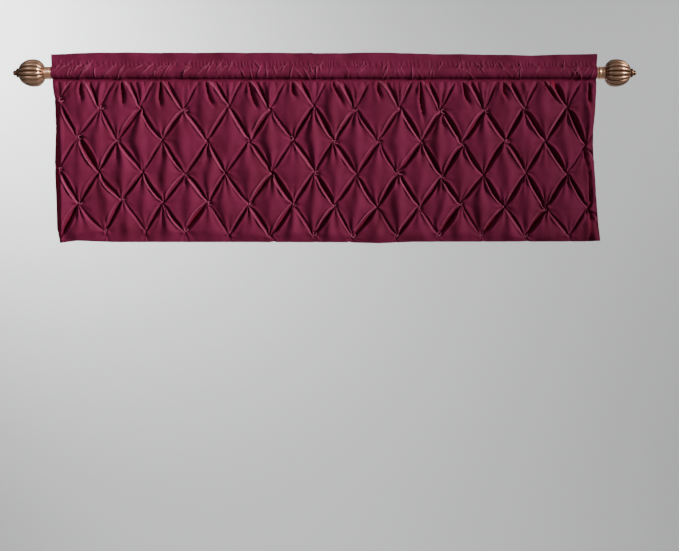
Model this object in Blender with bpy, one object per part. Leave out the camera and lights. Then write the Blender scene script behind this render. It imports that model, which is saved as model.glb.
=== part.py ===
"""Pinch-tucked window valance hanging on its decorative rod.

Metres. X runs along the rod, +Y points to the wall, +Z is up. The origin is on the rod's axis, at the middle of
the valance.
"""

import math

import bmesh
import bpy

# Cloth outline
HALF_WIDTH = 0.6825
CLOTH = 0.0015
HEADER_TOP = 0.0515
STITCH_Z = 0.0205
SEAM_Z = -0.0180
POCKET_BOTTOM = -0.0195
PANEL_TOP = -0.0152
HEM_Z = -0.4200

# Heading strip
HEADER_GAP = 0.0006
SEAM_GAP = 0.00035
POCKET_RADIUS = 0.01575
POCKET_LOWEST = math.radians(-70.0)
POCKET_HIGHEST = math.radians(72.0)
POCKET_STEPS = 5
FOLD_STEPS = 3
HEADING_STATIONS = 34
RUFFLE_DEPTH = 0.0018
EDGE_HOLD = 8

# Soft waves of the header: how many over the width, where each starts, and its share of the depth
RUFFLE_WAVES = (
    {"count": 11.5, "start": 0.6, "share": 1.0},
    {"count": 4.3, "start": 1.9, "share": 0.7},
)

# Tucks
TUCK_PITCH = 0.1055
FIRST_EVEN_TUCK = -0.6110
LAST_TUCK_ROW = 5
FLAT_BELOW_SEAM = -0.0215
PUFF_RISE = 0.0135
PUFF_RISE_SPREAD = 0.0030
CREASE_LIFT = 0.0030
PLEAT_RISE = 0.0020
PLEATS_A_PITCH = 2.5
TOP_PUFF_START = 0.03
TOP_PUFF_FULL = 0.60
HEM_CALM = 0.45
HEM_REACH = 0.60
SIDE_CALM = 0.35
SIDE_REACH = 0.030
WANDER_REACH = 0.80
LATTICE_MARGIN = 3
JOIN = 1e-6

# How far the tucks wander from an even lattice, and how quickly from one to the next
WANDER = (
    {"way": "x", "size": 0.0028, "by_first": 2.1, "by_second": 1.6, "start": 0.9},
    {"way": "z", "size": 0.0026, "by_first": 1.4, "by_second": -2.2, "start": 1.3},
)

# How the diamonds differ in height, from one to the next
UNEVEN = {"by_first": 2.3, "by_second": 4.1, "start": 0.4}

# Height of each tuck row at the left edge, the middle and the right edge
TUCK_ROWS = (
    {"row": 0, "left": -0.0175, "middle": -0.0175, "right": -0.0185},
    {"row": 1, "left": -0.0820, "middle": -0.0870, "right": -0.0945},
    {"row": 2, "left": -0.1610, "middle": -0.1690, "right": -0.1830},
    {"row": 3, "left": -0.2400, "middle": -0.2550, "right": -0.2450},
    {"row": 4, "left": -0.3200, "middle": -0.3320, "right": -0.3390},
    {"row": 5, "left": -0.4030, "middle": -0.4080, "right": -0.4060},
)

# Share of a diamond's side, from its left edge to its right, and how far the cloth stands out there
PUFF_SECTION = (
    {"at": 0.00, "out": 0.00},
    {"at": 0.09, "out": 0.38},
    {"at": 0.33, "out": 0.82},
    {"at": 0.67, "out": 1.00},
    {"at": 0.91, "out": 0.84},
    {"at": 1.00, "out": 0.00},
)

# Side edges of the cloth, as they wander on the way down
SIDE_EDGES = (
    {"z": 0.0520, "left": -0.6838, "right": 0.6838},
    {"z": 0.0205, "left": -0.6804, "right": 0.6810},
    {"z": -0.0150, "left": -0.6790, "right": 0.6800},
    {"z": -0.0650, "left": -0.6725, "right": 0.6775},
    {"z": -0.1400, "left": -0.6700, "right": 0.6730},
    {"z": -0.1900, "left": -0.6730, "right": 0.6715},
    {"z": -0.2600, "left": -0.6725, "right": 0.6755},
    {"z": -0.3300, "left": -0.6690, "right": 0.6810},
    {"z": -0.3900, "left": -0.6675, "right": 0.6840},
    {"z": -0.4200, "left": -0.6610, "right": 0.6895},
)

# Bottom edge of the cloth, from left to right
HEM_LINE = (
    {"x": -0.6825, "z": -0.4210},
    {"x": -0.6050, "z": -0.4165},
    {"x": -0.5275, "z": -0.4205},
    {"x": -0.2000, "z": -0.4198},
    {"x": 0.0500, "z": -0.4205},
    {"x": 0.1350, "z": -0.4232},
    {"x": 0.2200, "z": -0.4195},
    {"x": 0.6500, "z": -0.4188},
    {"x": 0.6825, "z": -0.4170},
)

# Top edge of the header, from left to right
HEADER_LINE = (
    {"x": -0.6825, "z": 0.0480},
    {"x": -0.5600, "z": 0.0525},
    {"x": -0.0300, "z": 0.0515},
    {"x": 0.1600, "z": 0.0518},
    {"x": 0.2300, "z": 0.0493},
    {"x": 0.5150, "z": 0.0450},
    {"x": 0.6300, "z": 0.0482},
    {"x": 0.6825, "z": 0.0485},
)

# Rod and its ends
ROD_CENTRE_X = 0.0015
ROD_HALF = 0.6965
ROD_RADIUS = 0.0140
ROD_BORE = 0.01275
ROD_SIDES = 24
COLLAR_START = 0.6845
COLLAR_LENGTH = 0.0150
COLLAR_BORE = 0.0143
FINIAL_START = 0.6998
SPIGOT_RADIUS = 0.0124
SPIGOT_LENGTH = 0.0180
RIBS = 16

# Collar profile: share of its length, and radius there
COLLAR_PROFILE = (
    {"at": 0.00, "radius": 0.0158},
    {"at": 0.20, "radius": 0.0158},
    {"at": 0.26, "radius": 0.0152},
    {"at": 0.74, "radius": 0.0152},
    {"at": 0.80, "radius": 0.0158},
    {"at": 1.00, "radius": 0.0158},
)

# Where each corner of a rib's section stands across the rib, and whether it is down in the groove
RIB_SECTION = (
    {"across": 0.00, "groove": 1.0},
    {"across": 0.28, "groove": 0.0},
    {"across": 0.72, "groove": 0.0},
)

# Finial profile from the collar outwards, with the depth of the grooves there
FINIAL_PROFILE = (
    {"along": 0.0000, "radius": 0.0135, "groove": 0.0000},
    {"along": 0.0015, "radius": 0.0180, "groove": 0.0012},
    {"along": 0.0050, "radius": 0.0245, "groove": 0.0026},
    {"along": 0.0120, "radius": 0.0300, "groove": 0.0036},
    {"along": 0.0230, "radius": 0.0328, "groove": 0.0040},
    {"along": 0.0370, "radius": 0.0326, "groove": 0.0040},
    {"along": 0.0490, "radius": 0.0290, "groove": 0.0036},
    {"along": 0.0575, "radius": 0.0225, "groove": 0.0026},
    {"along": 0.0625, "radius": 0.0145, "groove": 0.0010},
    {"along": 0.0645, "radius": 0.0090, "groove": 0.0000},
    {"along": 0.0665, "radius": 0.0112, "groove": 0.0000},
    {"along": 0.0690, "radius": 0.0112, "groove": 0.0000},
    {"along": 0.0710, "radius": 0.0062, "groove": 0.0000},
    {"along": 0.0745, "radius": 0.0066, "groove": 0.0000},
    {"along": 0.0785, "radius": 0.0040, "groove": 0.0000},
)
FINIAL_TIP = 0.0795

# Finishes
BURGUNDY = (0.150, 0.012, 0.030, 1.0)
DARK_BURGUNDY = (0.125, 0.010, 0.024, 1.0)
AGED_BRONZE = (0.300, 0.160, 0.090, 1.0)
LIGHT_BRONZE = (0.430, 0.250, 0.150, 1.0)
ROD_BRONZE = (0.260, 0.150, 0.090, 1.0)


def clear_scene():
    for item in list(bpy.data.objects):
        bpy.data.objects.remove(item, do_unlink=True)


def finish(name, colour, roughness, metallic):
    material = bpy.data.materials.new(name)
    material.use_nodes = True
    shader = material.node_tree.nodes["Principled BSDF"]
    shader.inputs["Base Color"].default_value = colour
    shader.inputs["Roughness"].default_value = roughness
    shader.inputs["Metallic"].default_value = metallic
    material.diffuse_color = colour
    return material


def add_object(name, points, faces, material, smooth):
    mesh = bpy.data.meshes.new(name)
    mesh.from_pydata(points, [], faces)
    mesh.validate()
    mesh.update()
    mesh.polygons.foreach_set("use_smooth", [smooth] * len(mesh.polygons))
    mesh.materials.append(material)
    item = bpy.data.objects.new(name, mesh)
    bpy.context.scene.collection.objects.link(item)
    return item


def mix(low, high, share):
    return low + (high - low) * share


def ease(share):
    held = min(1.0, max(0.0, share))
    return held * held * (3.0 - 2.0 * held)


def read_table(table, key, column, at):
    """Value of a column at a key between two of the table's rows, held beyond its ends."""
    rows = sorted(table, key=lambda entry: entry[key])
    if at <= rows[0][key]:
        return rows[0][column]
    for below, above in zip(rows, rows[1:]):
        if at <= above[key]:
            share = (at - below[key]) / (above[key] - below[key])
            return mix(below[column], above[column], share)
    return rows[-1][column]


def row_height(row, across):
    """Height of a tuck row at a share of the width, on a curve through its three named heights."""
    entry = TUCK_ROWS[row]
    left_part = 2.0 * (across - 0.5) * (across - 1.0)
    middle_part = 4.0 * across * (1.0 - across)
    right_part = 2.0 * across * (across - 0.5)
    return entry["left"] * left_part + entry["middle"] * middle_part + entry["right"] * right_part


def across_width(x):
    return (x + HALF_WIDTH) / (2.0 * HALF_WIDTH)


def edge_shift(x, z):
    """How far the cloth's own side edges move a point sideways, most of it close to them."""
    left = read_table(SIDE_EDGES, "z", "left", z) + HALF_WIDTH
    right = read_table(SIDE_EDGES, "z", "right", z) - HALF_WIDTH
    share = across_width(x)
    return left * (1.0 - share) ** EDGE_HOLD + right * share**EDGE_HOLD


def heading_path():
    """Middle line of the folded strip, as (y, z) from the front bottom edge over the top to the back one."""
    seam_y = CLOTH / 2 + SEAM_GAP + CLOTH / 2
    top_y = HEADER_GAP / 2 + CLOTH / 2
    front = [(-seam_y, POCKET_BOTTOM), (-seam_y, SEAM_Z + CLOTH / 2)]
    for step in range(POCKET_STEPS + 1):
        angle = mix(POCKET_LOWEST, POCKET_HIGHEST, step / POCKET_STEPS)
        front.append((-POCKET_RADIUS * math.cos(angle), POCKET_RADIUS * math.sin(angle)))
    front.append((-top_y, STITCH_Z))
    front.append((-top_y, mix(STITCH_Z, HEADER_TOP, 0.5)))
    fold_z = HEADER_TOP - CLOTH / 2 - top_y
    fold = []
    for step in range(FOLD_STEPS + 1):
        angle = math.pi * step / FOLD_STEPS
        fold.append((-top_y * math.cos(angle), fold_z + top_y * math.sin(angle)))
    back = [(-y, z) for y, z in reversed(front)]
    return front + fold + back


def offset_path(path, distance):
    """The path moved sideways by a distance, with its corners kept at the same thickness."""
    moved = []
    for index, (y, z) in enumerate(path):
        before = path[max(index - 1, 0)]
        after = path[min(index + 1, len(path) - 1)]
        first = (y - before[0], z - before[1])
        second = (after[0] - y, after[1] - z)
        if index == 0:
            first = second
        if index == len(path) - 1:
            second = first
        first_length = math.hypot(*first)
        second_length = math.hypot(*second)
        across_y = first[1] / first_length + second[1] / second_length
        across_z = -first[0] / first_length - second[0] / second_length
        size = math.hypot(across_y, across_z)
        half_turn = size / 2.0
        reach = distance / max(half_turn, 0.5)
        moved.append((y + reach * across_y / size, z + reach * across_z / size))
    return moved


def ruffle(x, z):
    """Soft waves of the header, none of them at the pocket."""
    rise = ease((z - STITCH_Z) / (HEADER_TOP - STITCH_Z))
    turns = math.tau * across_width(x)
    wave = sum(entry["share"] * math.sin(entry["count"] * turns + entry["start"]) for entry in RUFFLE_WAVES)
    return RUFFLE_DEPTH * rise * wave


def build_heading(material):
    """Header ruffle and rod pocket: one strip folded over at the top and open at the bottom."""
    path = heading_path()
    loop = offset_path(path, -CLOTH / 2) + list(reversed(offset_path(path, CLOTH / 2)))
    count = len(loop)
    points = []
    for station in range(HEADING_STATIONS + 1):
        x = mix(-HALF_WIDTH, HALF_WIDTH, station / HEADING_STATIONS)
        lift = read_table(HEADER_LINE, "x", "z", x) - HEADER_TOP
        for y, z in loop:
            raised = z + lift * ease((z - STITCH_Z) / (HEADER_TOP - STITCH_Z))
            points.append((x + edge_shift(x, raised), y + ruffle(x, z), raised))
    faces = []
    for station in range(HEADING_STATIONS):
        for corner in range(count):
            here = station * count + corner
            beside = station * count + (corner + 1) % count
            faces.append((here, beside, beside + count, here + count))
    half = count // 2
    last = HEADING_STATIONS * count
    for corner in range(half - 1):
        near = (corner, count - 1 - corner, count - 2 - corner, corner + 1)
        faces.append(near)
        faces.append(tuple(last + point for point in reversed(near)))
    item = add_object("heading", points, faces, material, True)
    face_outwards(item)
    return item


def face_outwards(item):
    mesh = item.data
    shape = bmesh.new()
    shape.from_mesh(mesh)
    bmesh.ops.recalc_face_normals(shape, faces=shape.faces)
    shape.to_mesh(mesh)
    shape.free()


def nominal_row(z):
    """Row number, counted down from the seam, of a height on the even lattice."""
    return (SEAM_Z - z) / row_pitch()


def row_pitch():
    return (SEAM_Z - TUCK_ROWS[LAST_TUCK_ROW]["middle"]) / LAST_TUCK_ROW


def lattice_point(across, down):
    """Flat place of a lattice point: both counts grow to the right, the first one going down, the second up."""
    x = FIRST_EVEN_TUCK + (across + down) * TUCK_PITCH / 2
    z = SEAM_Z - (across - down) * row_pitch()
    return x, z


def lattice_counts(x, z):
    """The two diagonal counts of a flat place."""
    total = 2 * (x - FIRST_EVEN_TUCK) / TUCK_PITCH
    row = nominal_row(z)
    return (total + row) / 2, (total - row) / 2


def flat_sheet():
    """Flat lattice of the panel, cut to its outline and along the seam, as a triangle mesh."""
    sheet = bmesh.new()
    shares = [entry["at"] for entry in PUFF_SECTION]
    steps = len(shares) - 1
    cells = math.ceil(2 * HALF_WIDTH / TUCK_PITCH) + LAST_TUCK_ROW
    made = {}

    def corner(first, second):
        if (first, second) not in made:
            across = first // steps + shares[first % steps]
            down = second // steps + shares[second % steps]
            x, z = lattice_point(across, down)
            made[first, second] = sheet.verts.new((x, 0.0, z))
        return made[first, second]

    for across in range(-LATTICE_MARGIN, cells):
        for down in range(-LAST_TUCK_ROW - LATTICE_MARGIN, cells):
            x, z = lattice_point(across + 0.5, down + 0.5)
            row = nominal_row(z)
            if abs(x) > HALF_WIDTH + TUCK_PITCH / 2 or not -1 <= row <= LAST_TUCK_ROW + 1:
                continue
            for first in range(across * steps, (across + 1) * steps):
                for second in range(down * steps, (down + 1) * steps):
                    sheet.faces.new(
                        (
                            corner(first, second),
                            corner(first + 1, second),
                            corner(first + 1, second + 1),
                            corner(first, second + 1),
                        )
                    )
    cuts = (
        {"at": (HALF_WIDTH, 0, 0), "away": (1, 0, 0), "trim": True},
        {"at": (-HALF_WIDTH, 0, 0), "away": (-1, 0, 0), "trim": True},
        {"at": (0, 0, PANEL_TOP), "away": (0, 0, 1), "trim": True},
        {"at": (0, 0, HEM_Z), "away": (0, 0, -1), "trim": True},
        {"at": (0, 0, FLAT_BELOW_SEAM), "away": (0, 0, 1), "trim": False},
    )
    for cut in cuts:
        bmesh.ops.bisect_plane(
            sheet,
            geom=list(sheet.verts) + list(sheet.edges) + list(sheet.faces),
            dist=JOIN,
            plane_co=cut["at"],
            plane_no=cut["away"],
            clear_outer=cut["trim"],
        )
    bmesh.ops.triangulate(sheet, faces=list(sheet.faces))
    return sheet


def puff(across, down, x, z):
    """How far the cloth stands out from the tucks at a flat place, uneven from diamond to diamond."""
    first = math.floor(across)
    second = math.floor(down)
    near = across - first
    far = down - second
    section = read_table(PUFF_SECTION, "at", "out", near) * read_table(PUFF_SECTION, "at", "out", far)
    turn = UNEVEN["by_first"] * first + UNEVEN["by_second"] * second + UNEVEN["start"]
    rise = PUFF_RISE + PUFF_RISE_SPREAD * math.sin(turn)
    bow_near = 4 * near * (1 - near)
    bow_far = 4 * far * (1 - far)
    pleat = PLEAT_RISE * bow_near * bow_far * math.sin(PLEATS_A_PITCH * math.tau * x / TUCK_PITCH + turn)
    crease = CREASE_LIFT * max(bow_near, bow_far)
    row = nominal_row(z)
    top = ease((row - TOP_PUFF_START) / (TOP_PUFF_FULL - TOP_PUFF_START))
    bottom = mix(HEM_CALM, 1.0, ease((nominal_row(HEM_Z) - row) / HEM_REACH))
    side = mix(SIDE_CALM, 1.0, ease((HALF_WIDTH - abs(x)) / SIDE_REACH))
    return (rise * section + pleat + crease) * top * bottom * side


def wander(way, across, down):
    entry = next(entry for entry in WANDER if entry["way"] == way)
    turn = entry["by_first"] * across + entry["by_second"] * down + entry["start"]
    return entry["size"] * math.sin(turn)


def hang(x, z):
    """Real place of a flat point of the panel's front."""
    across, down = lattice_counts(x, z)
    row = nominal_row(z)
    share = across_width(x)
    if row <= 0:
        height = z
    elif row >= LAST_TUCK_ROW:
        hem = read_table(HEM_LINE, "x", "z", x)
        low = (row - LAST_TUCK_ROW) / (nominal_row(HEM_Z) - LAST_TUCK_ROW)
        height = mix(row_height(LAST_TUCK_ROW, share), hem, low)
    else:
        above = math.floor(row)
        height = mix(row_height(above, share), row_height(above + 1, share), row - above)
        if above == 0:
            height = mix(z, height, row)
    free = ease(row / WANDER_REACH) * ease((nominal_row(HEM_Z) - row) / WANDER_REACH)
    forward = 0.0 if z >= FLAT_BELOW_SEAM - JOIN else puff(across, down, x, z)
    real_x = x + edge_shift(x, height) + free * wander("x", across, down)
    return real_x, -CLOTH / 2 - forward, height + free * wander("z", across, down)


def build_tucked_panel(material):
    """Pinch-tucked cloth: one sheet with its front on the puffs and its back the cloth's thickness behind."""
    sheet = flat_sheet()
    sheet.verts.index_update()
    front = [hang(corner.co.x, corner.co.z) for corner in sheet.verts]
    back = [(x, y + CLOTH, z) for x, y, z in front]
    count = len(front)
    faces = []
    for face in sheet.faces:
        around = [corner.index for corner in face.verts]
        faces.append(tuple(around))
        faces.append(tuple(count + point for point in reversed(around)))
    for edge in sheet.edges:
        if len(edge.link_faces) == 1:
            one, other = (corner.index for corner in edge.verts)
            faces.append((one, other, count + other, count + one))
    sheet.free()
    item = add_object("tucked_panel", front + back, faces, material, True)
    face_outwards(item)
    return item


def ring(x, radius, sides):
    """Points of a circle around the rod's axis."""
    turns = [math.tau * side / sides for side in range(sides)]
    return [(x, radius * math.cos(turn), radius * math.sin(turn)) for turn in turns]


def join_rings(first, second, sides):
    """Faces between two rings of points that start at these numbers."""
    faces = []
    for side in range(sides):
        beside = (side + 1) % sides
        faces.append((first + side, first + beside, second + beside, second + side))
    return faces


def build_sleeve(name, stations, bore, material):
    """Open tube around the rod's axis: its outside at the given stations, and a straight bore."""
    points = []
    for x, radius in stations:
        points += ring(x, radius, ROD_SIDES)
    points += ring(stations[-1][0], bore, ROD_SIDES)
    points += ring(stations[0][0], bore, ROD_SIDES)
    rings = len(stations) + 2
    faces = []
    for index in range(rings):
        following = (index + 1) % rings
        faces += join_rings(index * ROD_SIDES, following * ROD_SIDES, ROD_SIDES)
    item = add_object(name, points, faces, material, False)
    face_outwards(item)
    return item


def build_rod(material):
    ends = (ROD_CENTRE_X - ROD_HALF, ROD_CENTRE_X + ROD_HALF)
    stations = [(ends[0], ROD_RADIUS), (ends[1], ROD_RADIUS)]
    return build_sleeve("rod", stations, ROD_BORE, material)


def build_collar(name, side, material):
    """Ferrule ring over one rod end, with a lip at each of its edges."""
    stations = []
    for entry in COLLAR_PROFILE:
        x = ROD_CENTRE_X + side * (COLLAR_START + entry["at"] * COLLAR_LENGTH)
        stations.append((x, entry["radius"]))
    return build_sleeve(name, stations, COLLAR_BORE, material)


def build_finial(name, side, material):
    """Fluted ball with a ring and a knob outside it, and a spigot that plugs into the rod."""
    sides = RIBS * len(RIB_SECTION)
    start = ROD_CENTRE_X + side * FINIAL_START
    points = ring(start - side * SPIGOT_LENGTH, SPIGOT_RADIUS, sides)
    points += ring(start, SPIGOT_RADIUS, sides)
    for entry in FINIAL_PROFILE:
        x = start + side * entry["along"]
        for rib in range(RIBS):
            for corner in RIB_SECTION:
                turn = math.tau * (rib + corner["across"]) / RIBS
                radius = entry["radius"] - entry["groove"] * corner["groove"]
                points.append((x, radius * math.cos(turn), radius * math.sin(turn)))
    rings = len(FINIAL_PROFILE) + 2
    faces = []
    for index in range(rings - 1):
        faces += join_rings(index * sides, (index + 1) * sides, sides)
    faces.append(tuple(range(sides)))
    tip = len(points)
    points.append((start + side * FINIAL_TIP, 0.0, 0.0))
    outermost = (rings - 1) * sides
    for corner in range(sides):
        faces.append((outermost + corner, outermost + (corner + 1) % sides, tip))
    item = add_object(name, points, faces, material, True)
    face_outwards(item)
    return item


def main():
    clear_scene()
    panel_cloth = finish("woven_microfibre_burgundy", BURGUNDY, 0.82, 0.0)
    heading_cloth = finish("woven_microfibre_burgundy_strip", DARK_BURGUNDY, 0.82, 0.0)
    rod_metal = finish("bronze_finish_steel_tube", ROD_BRONZE, 0.38, 0.9)
    collar_metal = finish("light_bronze_finish_ring", LIGHT_BRONZE, 0.32, 0.9)
    finial_metal = finish("aged_bronze_finish_resin", AGED_BRONZE, 0.40, 0.8)
    build_heading(heading_cloth)
    build_tucked_panel(panel_cloth)
    build_rod(rod_metal)
    for name, side in (("left", -1), ("right", 1)):
        build_collar("collar_" + name, side, collar_metal)
        build_finial("finial_" + name, side, finial_metal)


main()
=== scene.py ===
"""Dressed model of a pinch-tucked window valance on its decorative curtain rod.

Metres. X runs along the rod, +Y points to the wall and +Z is up. The origin is on the rod's axis, at the
middle of the valance.
"""

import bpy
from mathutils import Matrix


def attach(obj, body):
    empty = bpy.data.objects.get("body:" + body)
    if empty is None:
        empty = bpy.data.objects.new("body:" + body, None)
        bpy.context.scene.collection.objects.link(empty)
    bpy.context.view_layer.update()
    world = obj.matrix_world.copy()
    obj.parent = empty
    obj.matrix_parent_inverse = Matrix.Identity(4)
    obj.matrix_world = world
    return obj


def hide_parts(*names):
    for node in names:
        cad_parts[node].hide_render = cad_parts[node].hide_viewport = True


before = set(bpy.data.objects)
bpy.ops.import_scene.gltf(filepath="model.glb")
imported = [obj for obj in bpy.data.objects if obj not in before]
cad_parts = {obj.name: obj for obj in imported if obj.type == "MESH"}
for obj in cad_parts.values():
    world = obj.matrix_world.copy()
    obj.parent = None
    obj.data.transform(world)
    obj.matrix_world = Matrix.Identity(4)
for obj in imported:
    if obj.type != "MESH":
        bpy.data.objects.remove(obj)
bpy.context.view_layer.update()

import logging
import math
from dataclasses import dataclass, field
from enum import Enum

import bmesh
import bpy
import numpy as np
from bpy.types import Material, Node, NodeSocket, NodeTree, Object
from mathutils import Vector

Array = np.ndarray
LOG = logging.getLogger("valance")
MM = 0.001
BODY = "root"


class Side(Enum):
    """Which end of the rod a piece belongs to."""

    LEFT = -1
    RIGHT = 1


class Lean(Enum):
    """Which way a crease leans. The value is its first column in the table of creases."""

    RISING = 0
    FALLING = 2


class Socket(Enum):
    """Kinds of named input that a node tree takes."""

    LENGTH = "NodeSocketFloat"
    COUNT = "NodeSocketInt"


def srgb(code: str) -> tuple[float, float, float, float]:
    """Turn an sRGB hex colour into Blender's linear one.

    Args:
        code: Six hex digits.

    Returns:
        Linear red, green, blue and alpha.
    """
    channels = []
    for start in (0, 2, 4):
        value = int(code[start : start + 2], 16) / 255.0
        channels.append(value / 12.92 if value <= 0.04045 else ((value + 0.055) / 1.055) ** 2.4)
    return channels[0], channels[1], channels[2], 1.0


def ease(value: Array | float) -> Array | float:
    """Smooth step from 0 to 1 of a value held between them."""
    held = np.clip(value, 0.0, 1.0)
    return held * held * (3.0 - 2.0 * held)


def mix(low: Array | float, high: Array | float, share: Array | float) -> Array | float:
    """Value at a share of the way from low to high."""
    return low + (high - low) * share


def bump(value: Array, centre: float, width: float) -> Array:
    """Bell of height 1 around a centre."""
    return np.exp(-(((value - centre) / width) ** 2))


def ripples(first: Array, second: Array, length: float, seed: int, waves: int = 9) -> Array:
    """Gentle unevenness that never repeats, between about -1 and 1.

    Args:
        first: One coordinate of each point, in metres.
        second: The other coordinate.
        length: Mean wave length in metres.
        seed: Fixed seed of the directions and starts.
        waves: How many waves are laid over each other.

    Returns:
        One height for each point.
    """
    draw = np.random.default_rng(seed)
    total = np.zeros_like(first)
    for _ in range(waves):
        turn = draw.uniform(0.0, math.tau)
        start = draw.uniform(0.0, math.tau)
        rate = math.tau / (length * draw.uniform(0.65, 1.6))
        total += np.sin(rate * (first * math.cos(turn) + second * math.sin(turn)) + start)
    return total / math.sqrt(2.0 * waves)


def add_node(tree: NodeTree, kind: str, settings: dict | None = None, inputs: dict | None = None) -> Node:
    """Add one node with its settings and links.

    Args:
        tree: Tree that takes the node.
        kind: Blender's name of the node type.
        settings: Attributes of the node.
        inputs: A value or another node's output for each named or numbered input.

    Returns:
        The new node.
    """
    node = tree.nodes.new(kind)
    for name, value in (settings or {}).items():
        setattr(node, name, value)
    for key, value in (inputs or {}).items():
        if isinstance(value, NodeSocket):
            tree.links.new(value, node.inputs[key])
        else:
            node.inputs[key].default_value = value
    return node


def add_math(tree: NodeTree, operation: str, values: tuple, clamp: bool = False) -> NodeSocket:
    """Add a node that works out one sum.

    Args:
        tree: Tree that takes the node.
        operation: Blender's name of the sum.
        values: Numbers or other nodes' outputs that go into it, in order.
        clamp: Whether the result is held between 0 and 1.

    Returns:
        Output that holds the result.
    """
    settings = {"operation": operation, "use_clamp": clamp}
    return add_node(tree, "ShaderNodeMath", settings, dict(enumerate(values))).outputs[0]


def add_relief(tree: NodeTree, height: NodeSocket, strength: float, depth: float) -> NodeSocket:
    """Add a bump node for a height pattern.

    Args:
        tree: Tree that takes the node.
        height: Output that holds the pattern, from 0 to 1.
        strength: Share of the bump that shows.
        depth: Height of the pattern in metres.

    Returns:
        Output that holds the bent normals.
    """
    values = {"Strength": strength, "Distance": depth, "Height": height}
    return add_node(tree, "ShaderNodeBump", None, values).outputs["Normal"]


def set_ramp(node: Node, stops: tuple[tuple[float, tuple[float, float, float, float]], ...]) -> None:
    """Give a colour ramp its stops.

    Args:
        node: The ramp node.
        stops: Place and colour of each stop, in order.
    """
    ramp = node.color_ramp
    while len(ramp.elements) < len(stops):
        ramp.elements.new(1.0)
    for element, (place, colour) in zip(ramp.elements, stops):
        element.position = place
        element.color = colour


def grey(value: float) -> tuple[float, float, float, float]:
    """Linear grey of one value."""
    return value, value, value, 1.0


def new_material(name: str) -> tuple[Material, NodeTree, Node]:
    """Make a material with a node tree.

    Args:
        name: Name of the material.

    Returns:
        The material, its tree and its shader.
    """
    material = bpy.data.materials.new(name)
    material.use_nodes = True
    tree = material.node_tree
    return material, tree, tree.nodes["Principled BSDF"]


@dataclass(frozen=True)
class WovenMicrofibre:
    """Brushed woven polyester microfibre: matt, with a faint lighter bloom where the light grazes the nap."""

    name: str
    colour: str = "5b1432"
    shade: str = "511029"
    # Painted shade colour laid into the creases by the crease attribute.
    fold: str = "6c0c27"
    # Painted highlight colour laid on crease lips and wrinkle crests where the crease attribute is below 0.
    lip: str = "a85a74"
    sheen: str = "c98a98"
    lip_highlight_share: float = 0.85
    weave_share: float = 0.22
    thread: float = 0.0009
    blotch: float = 0.060
    crumple: float = 0.007
    roughness: float = 0.75

    def build(self) -> Material:
        """Make the material. Its thread is drawn three times as coarse as the real 0.3 mm, to show.

        Returns:
            The material.
        """
        material, tree, shader = new_material(self.name)
        place = add_node(tree, "ShaderNodeTexCoord").outputs["Object"]
        blotches = add_node(
            tree, "ShaderNodeTexNoise", None, {"Vector": place, "Scale": 1.0 / self.blotch, "Detail": 3.0}
        )
        across, down = (
            add_node(
                tree,
                "ShaderNodeTexWave",
                {"wave_type": "BANDS", "bands_direction": axis},
                {"Vector": place, "Scale": 1.0 / self.thread / 3.2, "Distortion": 1.5, "Detail": 1.0},
            )
            for axis in ("X", "Z")
        )
        weave = add_math(tree, "MULTIPLY", (across.outputs["Fac"], down.outputs["Fac"]))
        crumple = add_node(
            tree,
            "ShaderNodeTexNoise",
            None,
            {"Vector": place, "Scale": 1.0 / self.crumple, "Detail": 2.0, "Distortion": 0.6},
        )
        tint = add_node(tree, "ShaderNodeValToRGB", None, {"Fac": blotches.outputs["Fac"]})
        set_ramp(tint, ((0.30, srgb(self.shade)), (0.62, srgb(self.colour))))
        darker = add_node(
            tree,
            "ShaderNodeMix",
            {"data_type": "RGBA", "blend_type": "MULTIPLY"},
            {0: self.weave_share, 6: tint.outputs["Color"], 7: weave},
        )
        crease = add_node(tree, "ShaderNodeAttribute", {"attribute_name": "crease"}).outputs["Fac"]
        # Painted highlight: below 0 the crease attribute mixes in the lip colour.
        raised = add_math(tree, "MULTIPLY", (crease, -self.lip_highlight_share), clamp=True)
        bent = add_node(
            tree, "ShaderNodeMix", {"data_type": "RGBA"}, {0: raised, 6: darker.outputs[2], 7: srgb(self.lip)}
        )
        # Painted shade: above 0 the crease attribute mixes in the fold colour.
        inside = add_math(tree, "MAXIMUM", (crease, 0.0))
        hidden = add_math(tree, "POWER", (inside, 2.0), clamp=True)
        deep = add_node(
            tree, "ShaderNodeMix", {"data_type": "RGBA"}, {0: hidden, 6: bent.outputs[2], 7: srgb(self.fold)}
        )
        fine = add_relief(tree, weave, 0.25, 0.0003)
        rough = add_relief(tree, crumple.outputs["Fac"], 0.35, 0.0010)
        tree.links.new(fine, rough.node.inputs["Normal"])
        tree.links.new(deep.outputs[2], shader.inputs["Base Color"])
        tree.links.new(rough, shader.inputs["Normal"])
        shader.inputs["Roughness"].default_value = self.roughness
        shader.inputs["Specular IOR Level"].default_value = 0.08
        shader.inputs["Sheen Weight"].default_value = 0.02
        shader.inputs["Sheen Roughness"].default_value = 0.45
        shader.inputs["Sheen Tint"].default_value = srgb(self.sheen)
        return material


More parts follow.
